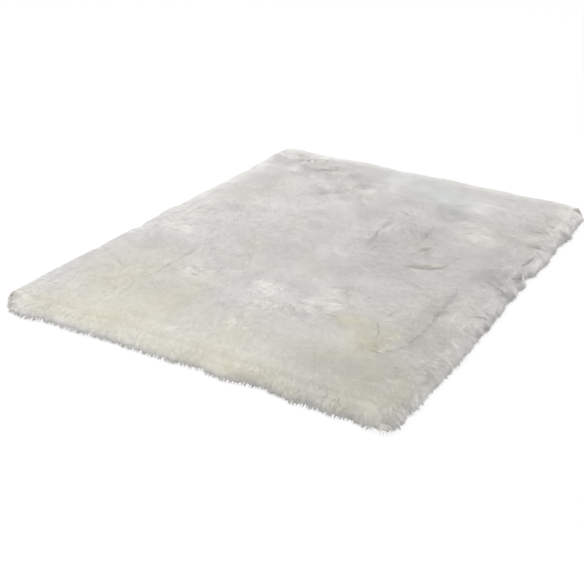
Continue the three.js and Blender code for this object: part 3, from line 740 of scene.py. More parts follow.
# How the edge's locks reach past it: x, y, radius, extra length, extra spread, and how far
# their tips stand off the surface.
TUFTS = [
    (620, -845, 90, 4, 0.3, 0), (-625, -820, 95, 4, 0.3, 0), (-615, 820, 60, 2, 0.2, 0),
    (640, -520, 40, 5, 0.4, 3), (640, -590, 30, 5, 0.4, 3),
    (-250, -850, 30, 6, 0.5, 2), (-470, -850, 40, 7, 0.5, 2), (60, -850, 30, 5, 0.5, 2),
    (330, -850, 35, 5, 0.5, 2), (-555, -850, 22, 9, 0.5, 3), (-515, -850, 16, 9, 0.5, 3),
]


def strands(x, y, rng, edge):  # edge: the strand's root is near the rug's edge
    """Where each strand's tip lies on the unrolled surface, and how deep."""
    n = len(x)
    ux, uy = unrolled(x, y)
    vx, vy = lay_x(x, y), lay_y(x, y)
    size = np.maximum(np.hypot(vx, vy), 1e-6)
    vx, vy = vx / size, vy / size
    fluff = ruffle_grid(x, y)
    large = large_locks.nearest(ux, uy)
    locks = edge_locks if edge else small_locks
    small = locks.nearest(ux, uy)
    small_turn, small_reach = locks.turn[small], locks.reach[small]
    large_turn, large_reach = large_locks.turn[large], large_locks.reach[large]
    lift = locks.lift[small], large_locks.lift[large]
    if edge:
        # the outermost strands are long enough to hang to the floor and rest on it
        border = np.minimum(CLOTH_WIDTH / 2 - np.abs(x), CLOTH_LENGTH / 2 - np.abs(y))
        cx, cy, nx, ny, d = split(x, y)
        inside = np.minimum(WIDTH / 2 - np.abs(x), LENGTH / 2 - np.abs(y))
        q = np.where(d > 0, along_section(d, nx, ny), CORNER_RADIUS - inside)
        outer = smooth(1 - border / 15)
        extra, spread, off = np.zeros(n), np.zeros(n), np.zeros(n)
        for tx, ty, radius, more, wide, away in TUFTS:
            near = hump(np.minimum(np.hypot(x - tx, y - ty) / radius, 1))
            extra += more * near
            spread += wide * near
            off += away * near
        stand = off * rng.uniform(0.1, 1.0, n) * (0.7 + 0.3 * small_reach)
        to_front = np.clip(-vy, 0, 1) ** 2
        reach = 44 * (1 - outer) + (FLOOR_E - q - 2) * outer
        reach += (2 + (0.8 + 0.8 * to_front) * outer) * small_reach
        reach += (1.6 + 0.8 * to_front) * large_reach * (1 + 0.5 * spread)
        reach += (0.6 + 1.2 * to_front) * outer * np.minimum(locks.tail[small], 3)
        reach += extra * (0.5 + 0.5 * small_reach) * outer
        together = 0.14 * (1 - 0.5 * calm(x, y)) * large_turn
        lx, ly = rotated(vx, vy, together + (0.10 + 0.1 * outer + 0.15 * spread) * small_turn)
        own = reach + rng.normal(0, 2 - 1.2 * outer, n)
        sx, sy = rotated(lx, ly, 0.08 * rng.normal(0, 1, n))
        pull = np.clip(rng.normal(0.15, 0.1, n) + 0.5 * outer, 0, 0.95)
        even = 1 - 0.75 * calm(x, y)
        depth_tip = 0.7 - even * (0.3 * lift[0] + 0.2 * lift[1]) + rng.uniform(-0.4, 0.6, n)
    else:
        stand = np.zeros(n)
        reach = 34 * (1 + 0.07 * small_reach + 0.06 * large_reach) * (1 - 0.25 * fluff)
        lx, ly = rotated(vx, vy, 0.06 * large_turn + (0.04 + 0.15 * fluff) * small_turn)
        own = reach * rng.uniform(0.8, 1.15, n)
        sx, sy = rotated(lx, ly, 0.08 * rng.normal(0, 1, n))
        pull = np.clip(rng.normal(0.12, 0.08, n) + 0.25 * fluff, 0, 0.9)
        softness = soft(x, y)
        even = 0.25 + (0.75 - 0.35 * softness) * fluff
        depth_tip = 0.55 - (0.08 * even + (0.2 - 0.07 * softness) * fluff) * lift[0] - 0.12 * fluff * lift[1]
        depth_tip += even * rng.uniform(-0.3, 0.35, n)
    ex, ey = ux + sx * own, uy + sy * own
    # tips gather to the tip of their lock
    tip_x = locks.x[small] + lx * reach
    tip_y = locks.y[small] + ly * reach
    ex, ey = ex + (tip_x - ex) * pull, ey + (tip_y - ey) * pull
    stray = rng.uniform(0, 1, n) < (0.008 if edge else 0.003)
    depth_tip = np.where(stray, -rng.uniform(0.3, 2.0, n), depth_tip)
    return ux, uy, ex, ey, depth_tip, stand, locks, small, large


def centre_lines(ux, uy, ex, ey, depth_tip, stand, levels, depths, rng):
    """Points and surface normals along the strands, from inside the undercoat to the tip.

    stand is how far the tip bends out from the surface."""
    n = len(ux)
    dx, dy = ex - ux, ey - uy
    bow = rng.normal(0, 0.05, n)
    points, normals = [], []
    for t, deeper in zip(levels, depths):
        side = bow * 4 * t * (1 - t)
        px, py = ux + dx * t - dy * side, uy + dy * t + dx * side
        p, nrm = placed(px, py, depth_tip + deeper - stand * t**1.7)
        p[:, 2] = np.maximum(p[:, 2], 0.35)
        points.append(p)
        normals.append(nrm)
    return np.stack(points, 1), np.stack(normals, 1)


def blades(points, across, widths):
    """Tapering blades: two corners at each level and one point at the tip.

    Returns vertices, triangles and each vertex's strand, level and side."""
    n, m, _ = points.shape
    rows, strand, level, side, index = [], [], [], [], []
    count = 0
    for k in range(m):
        signs = (0.0,) if k == m - 1 else (-1.0, 1.0)
        index.append([count + j * n + np.arange(n) for j in range(len(signs))])
        for sign in signs:
            rows.append(points[:, k] + across[:, k] * (sign * widths[:, k] / 2)[:, None])
            strand.append(np.arange(n))
            level.append(np.full(n, k))
            side.append(np.full(n, sign))
            count += n
    tris = []
    for k in range(m - 1):
        a, b = index[k], index[k + 1]
        if len(b) == 1:
            tris.append(np.stack([a[0], a[1], b[0]], 1))
        else:
            tris.append(np.stack([a[0], a[1], b[1]], 1))
            tris.append(np.stack([a[0], b[1], b[0]], 1))
    return tuple(np.concatenate(part) for part in (rows, tris, strand, level, side))


def new_mesh(name, vertices, faces, normals=None, colours=None, uv=None, polygon=None):
    """A mesh object from arrays: vertices in millimetres, faces all of one size.

    polygon is one more face, of any number of corners."""
    me = bpy.data.meshes.new(name)
    v = (vertices + np.array([SHIFT[0], SHIFT[1], 0.0])) / 1000.0
    k = faces.shape[1]
    corners = faces.ravel().astype(np.int32)
    starts = np.arange(0, faces.size, k, dtype=np.int32)
    if polygon is not None:
        starts = np.append(starts, np.int32(corners.size))
        corners = np.concatenate([corners, polygon.astype(np.int32)])
    me.vertices.add(len(v))
    me.vertices.foreach_set("co", v.astype(np.float32).ravel())
    me.loops.add(corners.size)
    me.loops.foreach_set("vertex_index", corners)
    me.polygons.add(len(starts))
    me.polygons.foreach_set("loop_start", starts)
    me.polygons.foreach_set("use_smooth", np.ones(len(starts), bool))
    me.update(calc_edges=True)
    for label, values in (colours or {}).items():
        a = me.attributes.new(label, "FLOAT_COLOR", "POINT")
        a.data.foreach_set("color", values.astype(np.float32).ravel())
    if uv is not None:
        layer = me.uv_layers.new(name="OFBake", do_init=False)
        layer.uv.foreach_set("vector", uv[corners].astype(np.float32).ravel())
    if normals is not None:
        me.normals_split_custom_set_from_vertices(normals.astype(np.float32))
    ob = bpy.data.objects.new(name, me)
    scene.collection.objects.link(ob)
    return ob


def colour_mix(x, y, t, strand_random, lock_random, height):
    """Two colour attributes: (how far along, strand, lock, brightness) and the four tints."""
    front = smooth(1 - (LENGTH / 2 + y) / 120)
    # painted shade low on the sides, stronger towards the front, and darker still close to the floor
    light = (1 + light_grid(x, y)) * (1 - (0.12 + 0.14 * front) * smooth(1 - height / 28))
    light = light * (1 - (0.1 + 0.18 * front) * smooth(1 - height / 10))
    # the shoulders catch more light than the flat of the rug, so a little painted shade darkens them; the edge table
    # then paints light and shade along each side
    light = light * (1 - 0.05 * smooth(1 - (inset_of(x, y) - 25) / 50)) * edge_painted_light(x, y)
    plain = 1 - np.clip(ruffle_grid(x, y), 0, 1)
    plain = np.maximum(plain, calm(x, y)) * (0.6 + 0.4 * calm(x, y))
    strand_random = 0.5 + (strand_random - 0.5) * (1 - 0.6 * plain)
    t = t + (1 - t) * 0.5 * plain
    light = light * (1 - 0.022 * plain)
    fur_mix = np.stack([t, strand_random, lock_random, np.clip(light - 0.5, 0, 1)], 1)
    tint = np.stack([tints_and_painted_light[k](x, y) for k in ("cream", "warm", "cool", "pink")], 1)
    left = smooth((-50 - x) / 300)
    fade = 0.85 * smooth(1 - (height - 6) / 30) * (1 - left) + 0.9 * smooth(1 - (height - 12) / 36) * left
    tint[:, 0] *= 1 - fade
    return {"fur": fur_mix, "tint": tint}


def partings(name, seed):
    """Strands laid along the table's lines and darkened with painted shade, to draw the narrow dark partings."""
    rng = np.random.default_rng(seed)
    xs, ys, dirs, darks = [], [], [], []
    for x1, y1, x2, y2, half, dark in PARTINGS:
        length = math.hypot(x2 - x1, y2 - y1)
        n = int(length * half * 0.7)
        along = rng.uniform(0, 1, n)
        tx, ty = (x2 - x1) / length, (y2 - y1) / length
        px, py = x1 + (x2 - x1) * along, y1 + (y2 - y1) * along
        off = rng.normal(0, 0.5, n) * half - crease_bend(px, py)
        xs.append(px - ty * off)
        ys.append(py + tx * off)
        dirs.append(np.full(n, math.atan2(ty, tx)) + rng.normal(0, 0.35, n))
        fade = np.minimum(1, np.minimum(along, 1 - along) * 9)
        broken = np.clip(0.75 + 0.6 * turned_noise(px, py, 17, 73), 0, 1)
        darks.append(dark * fade * broken)
    x, y, angle, dark = (np.concatenate(part) for part in (xs, ys, dirs, darks))
    n = len(x)
    # they turn towards the lay, so that they join the pile around them
    lay = np.arctan2(lay_y(x, y), lay_x(x, y))
    turn = np.angle(np.exp(1j * (lay - angle)))
    turn = np.where(np.abs(turn) > np.pi / 2, turn - np.sign(turn) * np.pi, turn)
    angle = angle + turn * 0.25
    length = rng.uniform(5, 12, n)
    ux, uy = unrolled(x, y)
    ex, ey = ux + np.cos(angle) * length, uy + np.sin(angle) * length
    levels = [0.0, 1.0]
    depth_tip = 0.15 + rng.uniform(-0.2, 0.2, n)
    points, normals = centre_lines(ux, uy, ex, ey, depth_tip, 0, levels, [1.2, 0.0], rng)
    tangent = np.gradient(points, axis=1)
    tangent /= np.maximum(np.linalg.norm(tangent, axis=2, keepdims=True), 1e-9)
    across = np.cross(tangent, normals)
    across /= np.maximum(np.linalg.norm(across, axis=2, keepdims=True), 1e-9)
    widths = 0.9 * rng.uniform(0.75, 1.25, n)[:, None] * np.array([1, 0])[None, :]
    v, tris, strand, level, side = blades(points, across, widths)
    nrm = normals[strand, level]
    a, b, c = v[tris[:, 0]], v[tris[:, 1]], v[tris[:, 2]]
    wrong = (np.cross(b - a, c - a) * nrm[tris].sum(1)).sum(1) < 0
    tris[wrong] = tris[wrong][:, ::-1]
    t = np.array(levels)[level]
    strand_random = rng.uniform(0, 1, n)[strand]
    mix = colour_mix(x[strand], y[strand], np.full(len(v), 0.6), strand_random,
                     np.full(len(v), 0.5), v[:, 2])
    # painted shade along each parting
    mix["fur"][:, 3] = np.clip(mix["fur"][:, 3] - 0.42 * dark[strand], 0, 1)
    nu, nv = 36, 30
    cu = np.floor((x + WIDTH / 2) / (WIDTH + 1) * nu)[strand]
    cv = np.floor((y + LENGTH / 2) / (LENGTH + 1) * nv)[strand]
    u = (cu + 0.08 + 0.84 * (0.9 * strand_random + 0.05 + 0.05 * side)) / nu
    w = (cv + 0.06 + 0.88 * t) / nv
    print(name, n, "strands", len(tris), "triangles")
    return new_mesh(name, v, tris, nrm, mix, np.stack([u, w], 1))


def pile(name, x, y, seed, edge):
    rng = np.random.default_rng(seed)
    ux, uy, ex, ey, depth_tip, stand, locks, small, large = strands(x, y, rng, edge)
    n = len(x)
    if edge == "fringe":
        levels, depths = [0.2, 0.5, 0.78, 1.0], [4.5, 1.5, 0.5, 0.0]
        profile, width = [1, 1, 0.8, 0], 1.3
    elif edge:
        levels, depths = [0.2, 0.6, 1.0], [4.0, 1.0, 0.0]
        profile, width = [1, 0.85, 0], 1.4
    else:
        levels, depths = [0.24, 1.0], [2.7, 0.0]
        profile, width = [1, 0], 1.35
    points, normals = centre_lines(ux, uy, ex, ey, depth_tip, stand, levels, depths, rng)
    tangent = np.gradient(points, axis=1)
    tangent /= np.maximum(np.linalg.norm(tangent, axis=2, keepdims=True), 1e-9)
    across = np.cross(tangent, normals)
    across /= np.maximum(np.linalg.norm(across, axis=2, keepdims=True), 1e-9)
    roll = rng.normal(0, 0.10, n)[:, None, None]
    across = across * np.cos(roll) + normals * np.sin(roll)
    widths = width * rng.uniform(0.75, 1.25, n)[:, None] * np.array(profile)[None, :]
    v, tris, strand, level, side = blades(points, across, widths)
    # normals: the rug's own, tilted a little across each strand and from lock to lock
    nrm = normals[strand, level]
    fluff = ruffle_grid(x, y)
    tilt = (0.01 + 0.03 * fluff) * locks.turn[small] + rng.normal(0, 0.018, n)
    nrm = nrm + across[strand, level] * (0.07 * side + tilt[strand])[:, None]
    lean = (0.01 + 0.035 * fluff) * (locks.lift[small] + large_locks.lift[large])
    nrm += tangent[strand, level] * lean[strand][:, None]
    # light also reaches the sides through the fur above them, more so higher up
    nrm[:, 2] += 1.6 * smooth(v[:, 2] / PILE_TOP)
    nrm /= np.linalg.norm(nrm, axis=1, keepdims=True)
    # faces wound so that they face the same way as their normals
    a, b, c = v[tris[:, 0]], v[tris[:, 1]], v[tris[:, 2]]
    face = np.cross(b - a, c - a)
    wrong = (face * nrm[tris].sum(1)).sum(1) < 0
    tris[wrong] = tris[wrong][:, ::-1]
    t = np.array(levels)[level]
    strand_random = rng.uniform(0, 1, n)[strand]
    tone = 0.5 + (1 - 0.6 * calm(x, y)) * (
        (0.15 + 0.1 * fluff) * locks.tone[small] + 0.15 * large_locks.tone[large])
    right = near_side(x, y, 10, 70)[0]
    at = t * 0.75 + 0.2
    mix = colour_mix((ux[strand] * (1 - at) + ex[strand] * at), (uy[strand] * (1 - at) + ey[strand] * at),
                     t, strand_random, tone[strand], v[:, 2])
    mix["fur"][:, 3] += (0.06 * right * locks.tone[small])[strand]
    # map: a tile for each small square of the plan, root to tip up it
    nu, nv = 36, 30
    x0, x1, y0, y1 = x.min(), x.max() + 1e-3, y.min(), y.max() + 1e-3
    cu = np.floor((x - x0) / (x1 - x0) * nu)[strand]
    cv = np.floor((y - y0) / (y1 - y0) * nv)[strand]
    u = (cu + 0.08 + 0.84 * (0.9 * strand_random + 0.05 + 0.05 * side)) / nu
    w = (cv + 0.06 + 0.88 * t) / nv
    print(name, n, "strands", len(tris), "triangles")
    return new_mesh(name, v, tris, nrm, mix, np.stack([u, w], 1))


# Spikes of pile that stick out where it whorls at the corners: where each starts and ends,
# in space, how thick it is at its start, and its tone, painted light above 0 and painted shade below.
SPIKES = [
    # the whorl at the front corner
    (581, -828, 23, 575, -848, 4, 1.8, -0.02), (583, -830, 22, 590, -854, 3, 1.7, -0.02),
    (585, -830, 22, 601, -853, 2, 1.9, 0.0), (587, -829, 23, 613, -848, 2, 1.9, -0.02),
    (588, -827, 24, 622, -839, 3, 1.9, 0.03), (589, -824, 26, 622, -825, 4, 1.8, 0.05),
    (579, -827, 24, 561, -847, 3, 2.0, -0.05), (577, -826, 25, 549, -845, 3, 1.9, -0.07),
    (589, -821, 28, 620, -811, 7, 1.9, 0.05), (584, -829, 22, 581, -846, 6, 2.2, 0.0),
    (586, -828, 24, 606, -842, 8, 2.2, 0.0), (575, -824, 26, 540, -842, 3, 1.9, -0.09),
    (590, -817, 30, 619, -798, 10, 1.9, 0.05),
]
BACK_SPIKES = [
    (586, 801, 46, 597, 823, 45, 2.0, 0.2), (588, 799, 46, 601, 818, 44.5, 2.0, 0.2),
    (584, 804, 46, 593, 824, 45, 2.0, 0.2), (587, 800, 46, 599, 821, 44.5, 2.0, 0.2),
    (582, 803, 46.5, 587, 825, 45, 2.0, 0.2), (580, 798, 47, 594, 814, 46, 2.0, 0.2),
]


def tubes(points, radii, rng):
    """Tapering strands with three sides: vertices, triangles, and each vertex's strand, level,
    place round the strand and outward direction. Each side has a tip of its own."""
    n, m, _ = points.shape
    tangent = np.gradient(points, axis=1)
    tangent /= np.maximum(np.linalg.norm(tangent, axis=2, keepdims=True), 1e-9)
    flat = np.cross(tangent, np.array([0, 0, 1.0]))
    flat /= np.maximum(np.linalg.norm(flat, axis=2, keepdims=True), 1e-9)
    upper = np.cross(flat, tangent)
    roll = rng.uniform(0, 2 * np.pi, n)
    rows, strand, level, place, outward = [], [], [], [], []
    for k in range(m):
        for c in range(3):
            # at the tip each side's point faces the way that side does
            turn = roll + 2 * np.pi * (c + (0.5 if k == m - 1 else 0)) / 3
            way = flat[:, k] * np.cos(turn)[:, None] + upper[:, k] * np.sin(turn)[:, None]
            rows.append(points[:, k] + way * radii[:, k][:, None])
            strand.append(np.arange(n))
            level.append(np.full(n, k))
            place.append(np.full(n, (c - 1.0)))
            outward.append(way)
    tris = []
    index = lambda k, c: (k * 3 + c % 3) * n + np.arange(n)
    for k in range(m - 1):
        for c in range(3):
            if k == m - 2:
                tris.append(np.stack([index(k, c), index(k, c + 1), index(k + 1, c)], 1))
            else:
                tris.append(np.stack([index(k, c), index(k, c + 1), index(k + 1, c + 1)], 1))
                tris.append(np.stack([index(k, c), index(k + 1, c + 1), index(k + 1, c)], 1))
    return tuple(np.concatenate(part) for part in (rows, tris, strand, level, place, outward))


def spikes(name, rows, seed, tint_row, flat=False):
    """Pointed bundles of strands, each gathered from a wide start to one tip.

    Flat ones are thin fans of blades that face up, so that they don't shade one another."""
    rng = np.random.default_rng(seed)
    points, tones = [], []
    for x0, y0, z0, x1, y1, z1, thick, tone in rows:
        start, tip = np.array([x0, y0, z0], float), np.array([x1, y1, z1], float)
        way = tip - start
        length = np.linalg.norm(way)
        side = np.cross(way, (0.0, 0.0, 1.0))
        side /= np.linalg.norm(side)
        n = int(5 + 6 * thick) if flat else int(6 + 11 * thick)
        begin = start + rng.normal(0, thick, (n, 3)) * (1, 1, 0.12 if flat else 0.7)
        end = tip - way * (rng.uniform(0, 0.4, n) ** 1.2)[:, None]
        end += rng.normal(0, 0.3, (n, 3)) * (1, 1, 0.3 if flat else 1)
        middle = 0.45 * begin + 0.55 * end + side * rng.normal(0, 0.4, n)[:, None]
        middle[:, 2] += (0.03 if flat else 0.08) * length
        points.append(np.stack([begin, middle, end], 1))
        tones.append(np.full(n, tone) + rng.normal(0, 0.02, n))
    points, tone = np.concatenate(points), np.concatenate(tones)
    points[:, :, 2] = np.maximum(points[:, :, 2], 0.7)
    n = len(points)
    widths = 1.1 * rng.uniform(0.75, 1.25, n)[:, None] * np.array([1, 0.75, 0])[None, :]
    if flat:
        tangent = np.gradient(points, axis=1)
        tangent /= np.maximum(np.linalg.norm(tangent, axis=2, keepdims=True), 1e-9)
        across = np.cross(tangent, np.array([0, 0, 1.0]))
        across /= np.maximum(np.linalg.norm(across, axis=2, keepdims=True), 1e-9)
        v, tris, strand, level, place = blades(points, across, widths)
        outward = np.cross(across, tangent)[strand, level]
    else:
        v, tris, strand, level, place, outward = tubes(points, widths / 2, rng)
    a, b, c = v[tris[:, 0]], v[tris[:, 1]], v[tris[:, 2]]
    wrong = (np.cross(b - a, c - a) * outward[tris].sum(1)).sum(1) < 0
    tris[wrong] = tris[wrong][:, ::-1]
    nrm = outward + np.array([0, 0, 1.2 if flat else 0.35])
    nrm /= np.linalg.norm(nrm, axis=1, keepdims=True)
    t = np.array([0.55, 0.8, 1.0])[level]
    strand_random = 0.5 + 0.5 * (rng.uniform(0, 1, n)[strand] - 0.5)
    m = len(v)
    # the rows' tone, painted light above 0 and painted shade below, goes into the brightness
    fur_mix = np.stack([t, strand_random, np.full(m, 0.5), np.clip(0.5 + tone[strand], 0, 1)], 1)
    tint = np.tile(np.array(tint_row), (m, 1))
    uv = np.stack([0.02 + 0.96 * (strand % 60 + 0.5 + 0.3 * place) / 60,
                   (strand // 60 + 0.1 + 0.8 * (0.2 + level * 0.35)) / (n // 60 + 1)], 1)
    print(name, n, "strands", len(tris), "triangles")
    return new_mesh(name, v, tris, nrm, {"fur": fur_mix, "tint": tint}, uv)


def hem(side, a0, a1, step, length, tone, seed):
    """Rows for the small points of pile that lie out over the floor along a side's foot."""
    rng = np.random.default_rng(seed)
    rows = []
    at = a0
    while at < a1:
        at += step * rng.uniform(0.35, 1.65)
        clump = 0.5 + 0.5 * float(noise(np.array([at * 1.0]), np.array([7.0 * seed]), 26, seed)[0])
        out = length * rng.uniform(0.1, 1.0) * (0.2 + 1.1 * clump)
        lean = -0.15
        if side == "front":
            # towards the left corner they are longer and turn to it
            corner = float(smooth(np.array((-400.0 - at) / 130)))
            if rng.uniform() < 0.08 + 0.25 * corner:
                out += rng.uniform(4, 9)
            lean -= 1.3 * corner
        drift = out * lean + rng.normal(0, 0.22) * out
        foot = LENGTH / 2 if side == "front" else WIDTH / 2
        foot += float(bulge(side, np.array([at * 1.0]))[0])
        h = rng.uniform(5, 12)
        row_tone = tone + rng.uniform(-0.05, 0.05)
        thick = rng.uniform(1.0, 1.6)
        if side == "front":
            rows.append((at, -(foot - 5), h, at + drift, -(foot + 1 + out), 1.3, thick, row_tone))
        else:
            rows.append((foot - 5, at, h, foot - 1 + out, at + drift, 1.3, thick, row_tone))
    return rows


# How far the left corner's spikes reach from its middle, by the height of their tips.
CORNER_REACH = ((2, 48), (10, 50), (18, 48.5), (28, 44), (38, 38.5), (44, 36))


def fan(middle, turns, starts, count, thick, tone, seed):
    """Rows for spikes that fan out round a corner. starts: how far along the section from the
    flat top they begin."""
    rng = np.random.default_rng(seed)
    turn = np.radians(turns[0] + (turns[1] - turns[0]) * (np.arange(count) + rng.uniform(0, 1, count)) / count)
    e = rng.uniform(*starts, count)
    cx, cy = (math.copysign(half - CORNER_RADIUS, m) for half, m in zip((WIDTH / 2, LENGTH / 2), middle))
    begin, _ = placed(cx + np.cos(turn) * e, cy + np.sin(turn) * e, np.full(count, 1.0))
    aim = turn + rng.normal(0, 0.1, count)
    drop = rng.uniform(0.1, 0.3, count) + 0.3 * smooth((np.degrees(turn) - 185) / 40)
    short = rng.uniform(0, 5, count)
    tones = tone + rng.uniform(-0.06, 0.03, count)
    rows = []
    for k in range(count):
        x0, y0, z0 = begin[k]
        r0 = math.hypot(x0 - middle[0], y0 - middle[1])
        reach = float(np.interp(z0 - 4, *zip(*CORNER_REACH))) - short[k]
        reach += 2.5 * float(smooth(np.array((math.radians(215) - turn[k]) / 0.7)))
        long = max(reach - r0, 6.0)
        z1 = max(z0 - long * drop[k], 1.0)
        rows.append((x0, y0, z0, x0 + math.cos(aim[k]) * long, y0 + math.sin(aim[k]) * long, z1,
                     thick, tones[k]))
    return rows


# ---- make the pieces -------------------------------------------------------------------

EDGE_BAND = 62.0  # strands rooted closer to the outline than this hang over the edge
half_w, half_l = CLOTH_WIDTH / 2, CLOTH_LENGTH / 2
pieces = []

# Strands lying along the top, in five bands along the rug.
for k, name in enumerate(("pile_1", "pile_2", "pile_3", "pile_4", "pile_5")):
    rng = np.random.default_rng(200 + k)
    y0 = -half_l + k * CLOTH_LENGTH / 5
    x, y = scattered(-half_w, half_w, y0, y0 + CLOTH_LENGTH / 5, 1.72, rng)
    keep = inset_of(x, y) > EDGE_BAND
    pieces.append(pile(name, x[keep], y[keep], 300 + k, False))

pieces.append(partings("pile_parting_shade", 340))
pieces.append(spikes("front_corner_spikes", SPIKES, 350, (0.1, 0.03, 0.15, 0.0), True))
# The fan's tone of 0.04 is a little painted light.
pieces.append(spikes("left_corner_spikes", fan((-582, -792), (125, 305), (24, 70), 120, 1.5, 0.04, 352),
                     351, (0.12, 0.0, 0.1, 0.0), True))
# The hems' tone below 0 is painted shade at the foot of the sides.
pieces.append(spikes("front_hem", hem("front", -590, 545, 7, 5, -0.12, 356), 355, (0.08, 0, 0.1, 0)))
pieces.append(spikes("right_hem", hem("right", -790, 780, 7.5, 3.5, -0.11, 358), 357, (0, 0, 0.05, 0.1)))
pieces.append(spikes("back_corner_spikes", BACK_SPIKES, 353, (0.05, 0.0, 0.0, 0.3), True))

# Strands of the shoulder, and the fringe of those rooted at the cloth's edge that hang over
# and reach the floor, closer together; each in two pieces.
for k, (name, sign) in enumerate((("front", -1), ("back", 1))):
    y0, y1 = (-half_l, 0) if sign < 0 else (0, half_l)
    for kind, spacing, number in (("shoulder", 2.05, 320), ("fringe", 1.7, 330)):
        rng = np.random.default_rng(220 + number + k)
        x, y = scattered(-half_w, half_w, y0, y1, spacing, rng)
        for corner in (-1, 1):
            more_x, more_y = scattered(*sorted((corner * (half_w - 50), corner * half_w)),
                                       *sorted((sign * (half_l - 50), sign * half_l)), 1.6, rng)
            x, y = np.concatenate([x, more_x]), np.concatenate([y, more_y])
        d = inset_of(x, y)
        border = np.minimum(half_w - np.abs(x), half_l - np.abs(y))
        keep = (d <= EDGE_BAND) & (d > 14) & ((border < 15) == (kind == "fringe"))
        pieces.append(pile(f"{kind}_{name}", x[keep], y[keep], number + k, kind))


def rect_grid(half_x, half_y, step):
    xs = np.linspace(-half_x, half_x, int(2 * half_x / step) + 1)
    ys = np.linspace(-half_y, half_y, int(2 * half_y / step) + 1)
    return np.meshgrid(xs, ys, indexing="ij")


def grid_faces(nx, ny, flip=False):
    i, j = np.meshgrid(np.arange(nx - 1), np.arange(ny - 1), indexing="ij")
    a = (i * ny + j).ravel()
    b, c, d = a + ny, a + ny + 1, a + 1
    f = np.stack([a, b, c, d], 1)
    return f[:, ::-1] if flip else f


def rounded(x, y, half_x, half_y, r):
    """A plain rectangle's points pulled in at its corners to this radius."""
    cx, cy = half_x - r, half_y - r
    a, b = (np.abs(x) - cx) / r, (np.abs(y) - cy) / r
    corner = (a > 0) & (b > 0)
    a, b = np.where(corner, a, 0), np.where(corner, b, 0)
    rx = np.sign(x) * (cx + r * a * np.sqrt(np.maximum(1 - b * b / 2, 0)))
    ry = np.sign(y) * (cy + r * b * np.sqrt(np.maximum(1 - a * a / 2, 0)))
    return np.where(corner, rx, x), np.where(corner, ry, y)


# Undercoat: the dense lower pile, a closed body just under the locks. At its edge it tucks
# back under them to the cloth.
UNDER = 2.2
e_end = FLOOR_E - 7
hx, hy = WIDTH / 2 - CORNER_RADIUS + e_end, LENGTH / 2 - CORNER_RADIUS + e_end
qx, qy = rect_grid(hx, hy, 8.0)
rx, ry = rounded(qx.ravel(), qy.ravel(), hx, hy, e_end)
cx, cy, nx, ny, e = split(rx, ry)
pulled = (3 + 5 * turned_noise(rx, ry, 13, 55)) * smooth((e - e_end + 22) / 22)
rx, ry = rx - nx * pulled, ry - ny * pulled
rough = 0.3 * turned_noise(rx, ry, 9, 51) + 0.2 * turned_noise(rx, ry, 21, 52)
p, nrm = placed(rx, ry, UNDER + rough)
p[:, 2] = np.maximum(p[:, 2], CLOTH_THICK + 0.9)
number = np.arange(len(p)).reshape(qx.shape)
rim = np.concatenate([number[:, 0], number[-1, 1:], number[-2::-1, -1], number[0, -2:0:-1]])
cx, cy, nx, ny, e = split(rx[rim], ry[rim])
tx, ty = edged(cx + nx * 22, cy + ny * 16)
tucked = np.stack([tx, ty, np.full(len(rim), CLOTH_THICK + 0.3)], 1)
inner_ring = len(p) + np.arange(len(rim))
ring_faces = np.stack([inner_ring, np.roll(inner_ring, -1), np.roll(rim, -1), rim], 1)
# The undercoat takes the root end of the colour ramp: the roots' warmer colour, and painted shade deep under the locks.
mix = colour_mix(
    np.concatenate([rx, tx]), np.concatenate([ry, ty]), np.full(len(p) + len(rim), 0.25),
    0.5 + 0.4 * turned_noise(*(np.concatenate(pair) for pair in ((rx, tx), (ry, ty))), 6, 53),
    0.5 + 0.4 * turned_noise(*(np.concatenate(pair) for pair in ((rx, tx), (ry, ty))), 20, 54),
    np.concatenate([p[:, 2], tucked[:, 2]]),
)
undercoat = new_mesh(
    "undercoat", np.concatenate([p, tucked]), np.concatenate([grid_faces(*qx.shape), ring_faces]),
    None, mix, None, inner_ring[::-1],
)

# Ground cloth: a thin closed sheet, flat on the floor, its cut edge slightly uneven.
qx, qy = rect_grid(half_w, half_l, 22.0)
rx, ry = rounded(qx.ravel(), qy.ravel(), half_w, half_l, 26.0)
bx, by = edged(rx, ry)
upper = np.stack([bx, by, CLOTH_THICK + 0.12 * turned_noise(bx, by, 30, 61)], 1)
lower = np.stack([bx, by, np.zeros_like(bx)], 1)
n = len(upper)
shape = qx.shape
f_up = grid_faces(*shape)
f_low = grid_faces(*shape, True) + n
number = np.arange(n).reshape(shape)
ring = np.concatenate([number[:, 0], number[-1, 1:], number[-2::-1, -1], number[0, -2:0:-1]])
nxt = np.roll(ring, -1)
f_side = np.stack([ring + n, nxt + n, nxt, ring], 1)
ground = new_mesh("ground_cloth", np.concatenate([upper, lower]), np.concatenate([f_up, f_low, f_side]))

# ---- materials -------------------------------------------------------------------------


def node_material(name):
    mat = bpy.data.materials.new(name)
    mat.use_nodes = True
    nt = mat.node_tree
    nt.nodes.clear()
    out = nt.nodes.new("ShaderNodeOutputMaterial")
    p = nt.nodes.new("ShaderNodeBsdfPrincipled")
    nt.links.new(p.outputs[0], out.inputs["Surface"])
    return mat, nt, p


def mixed_colour(nt, factor, a, b, blend="MIX"):
    m = nt.nodes.new("ShaderNodeMix")
    m.data_type = "RGBA"
    m.blend_type = blend
    for socket, value in ((m.inputs[0], factor), (m.inputs[6], a), (m.inputs[7], b)):
        if isinstance(value, (int, float)):
            socket.default_value = value
        elif isinstance(value, tuple):
            socket.default_value = (*value, 1.0)
        else:
            nt.links.new(value, socket)
    return m.outputs[2]


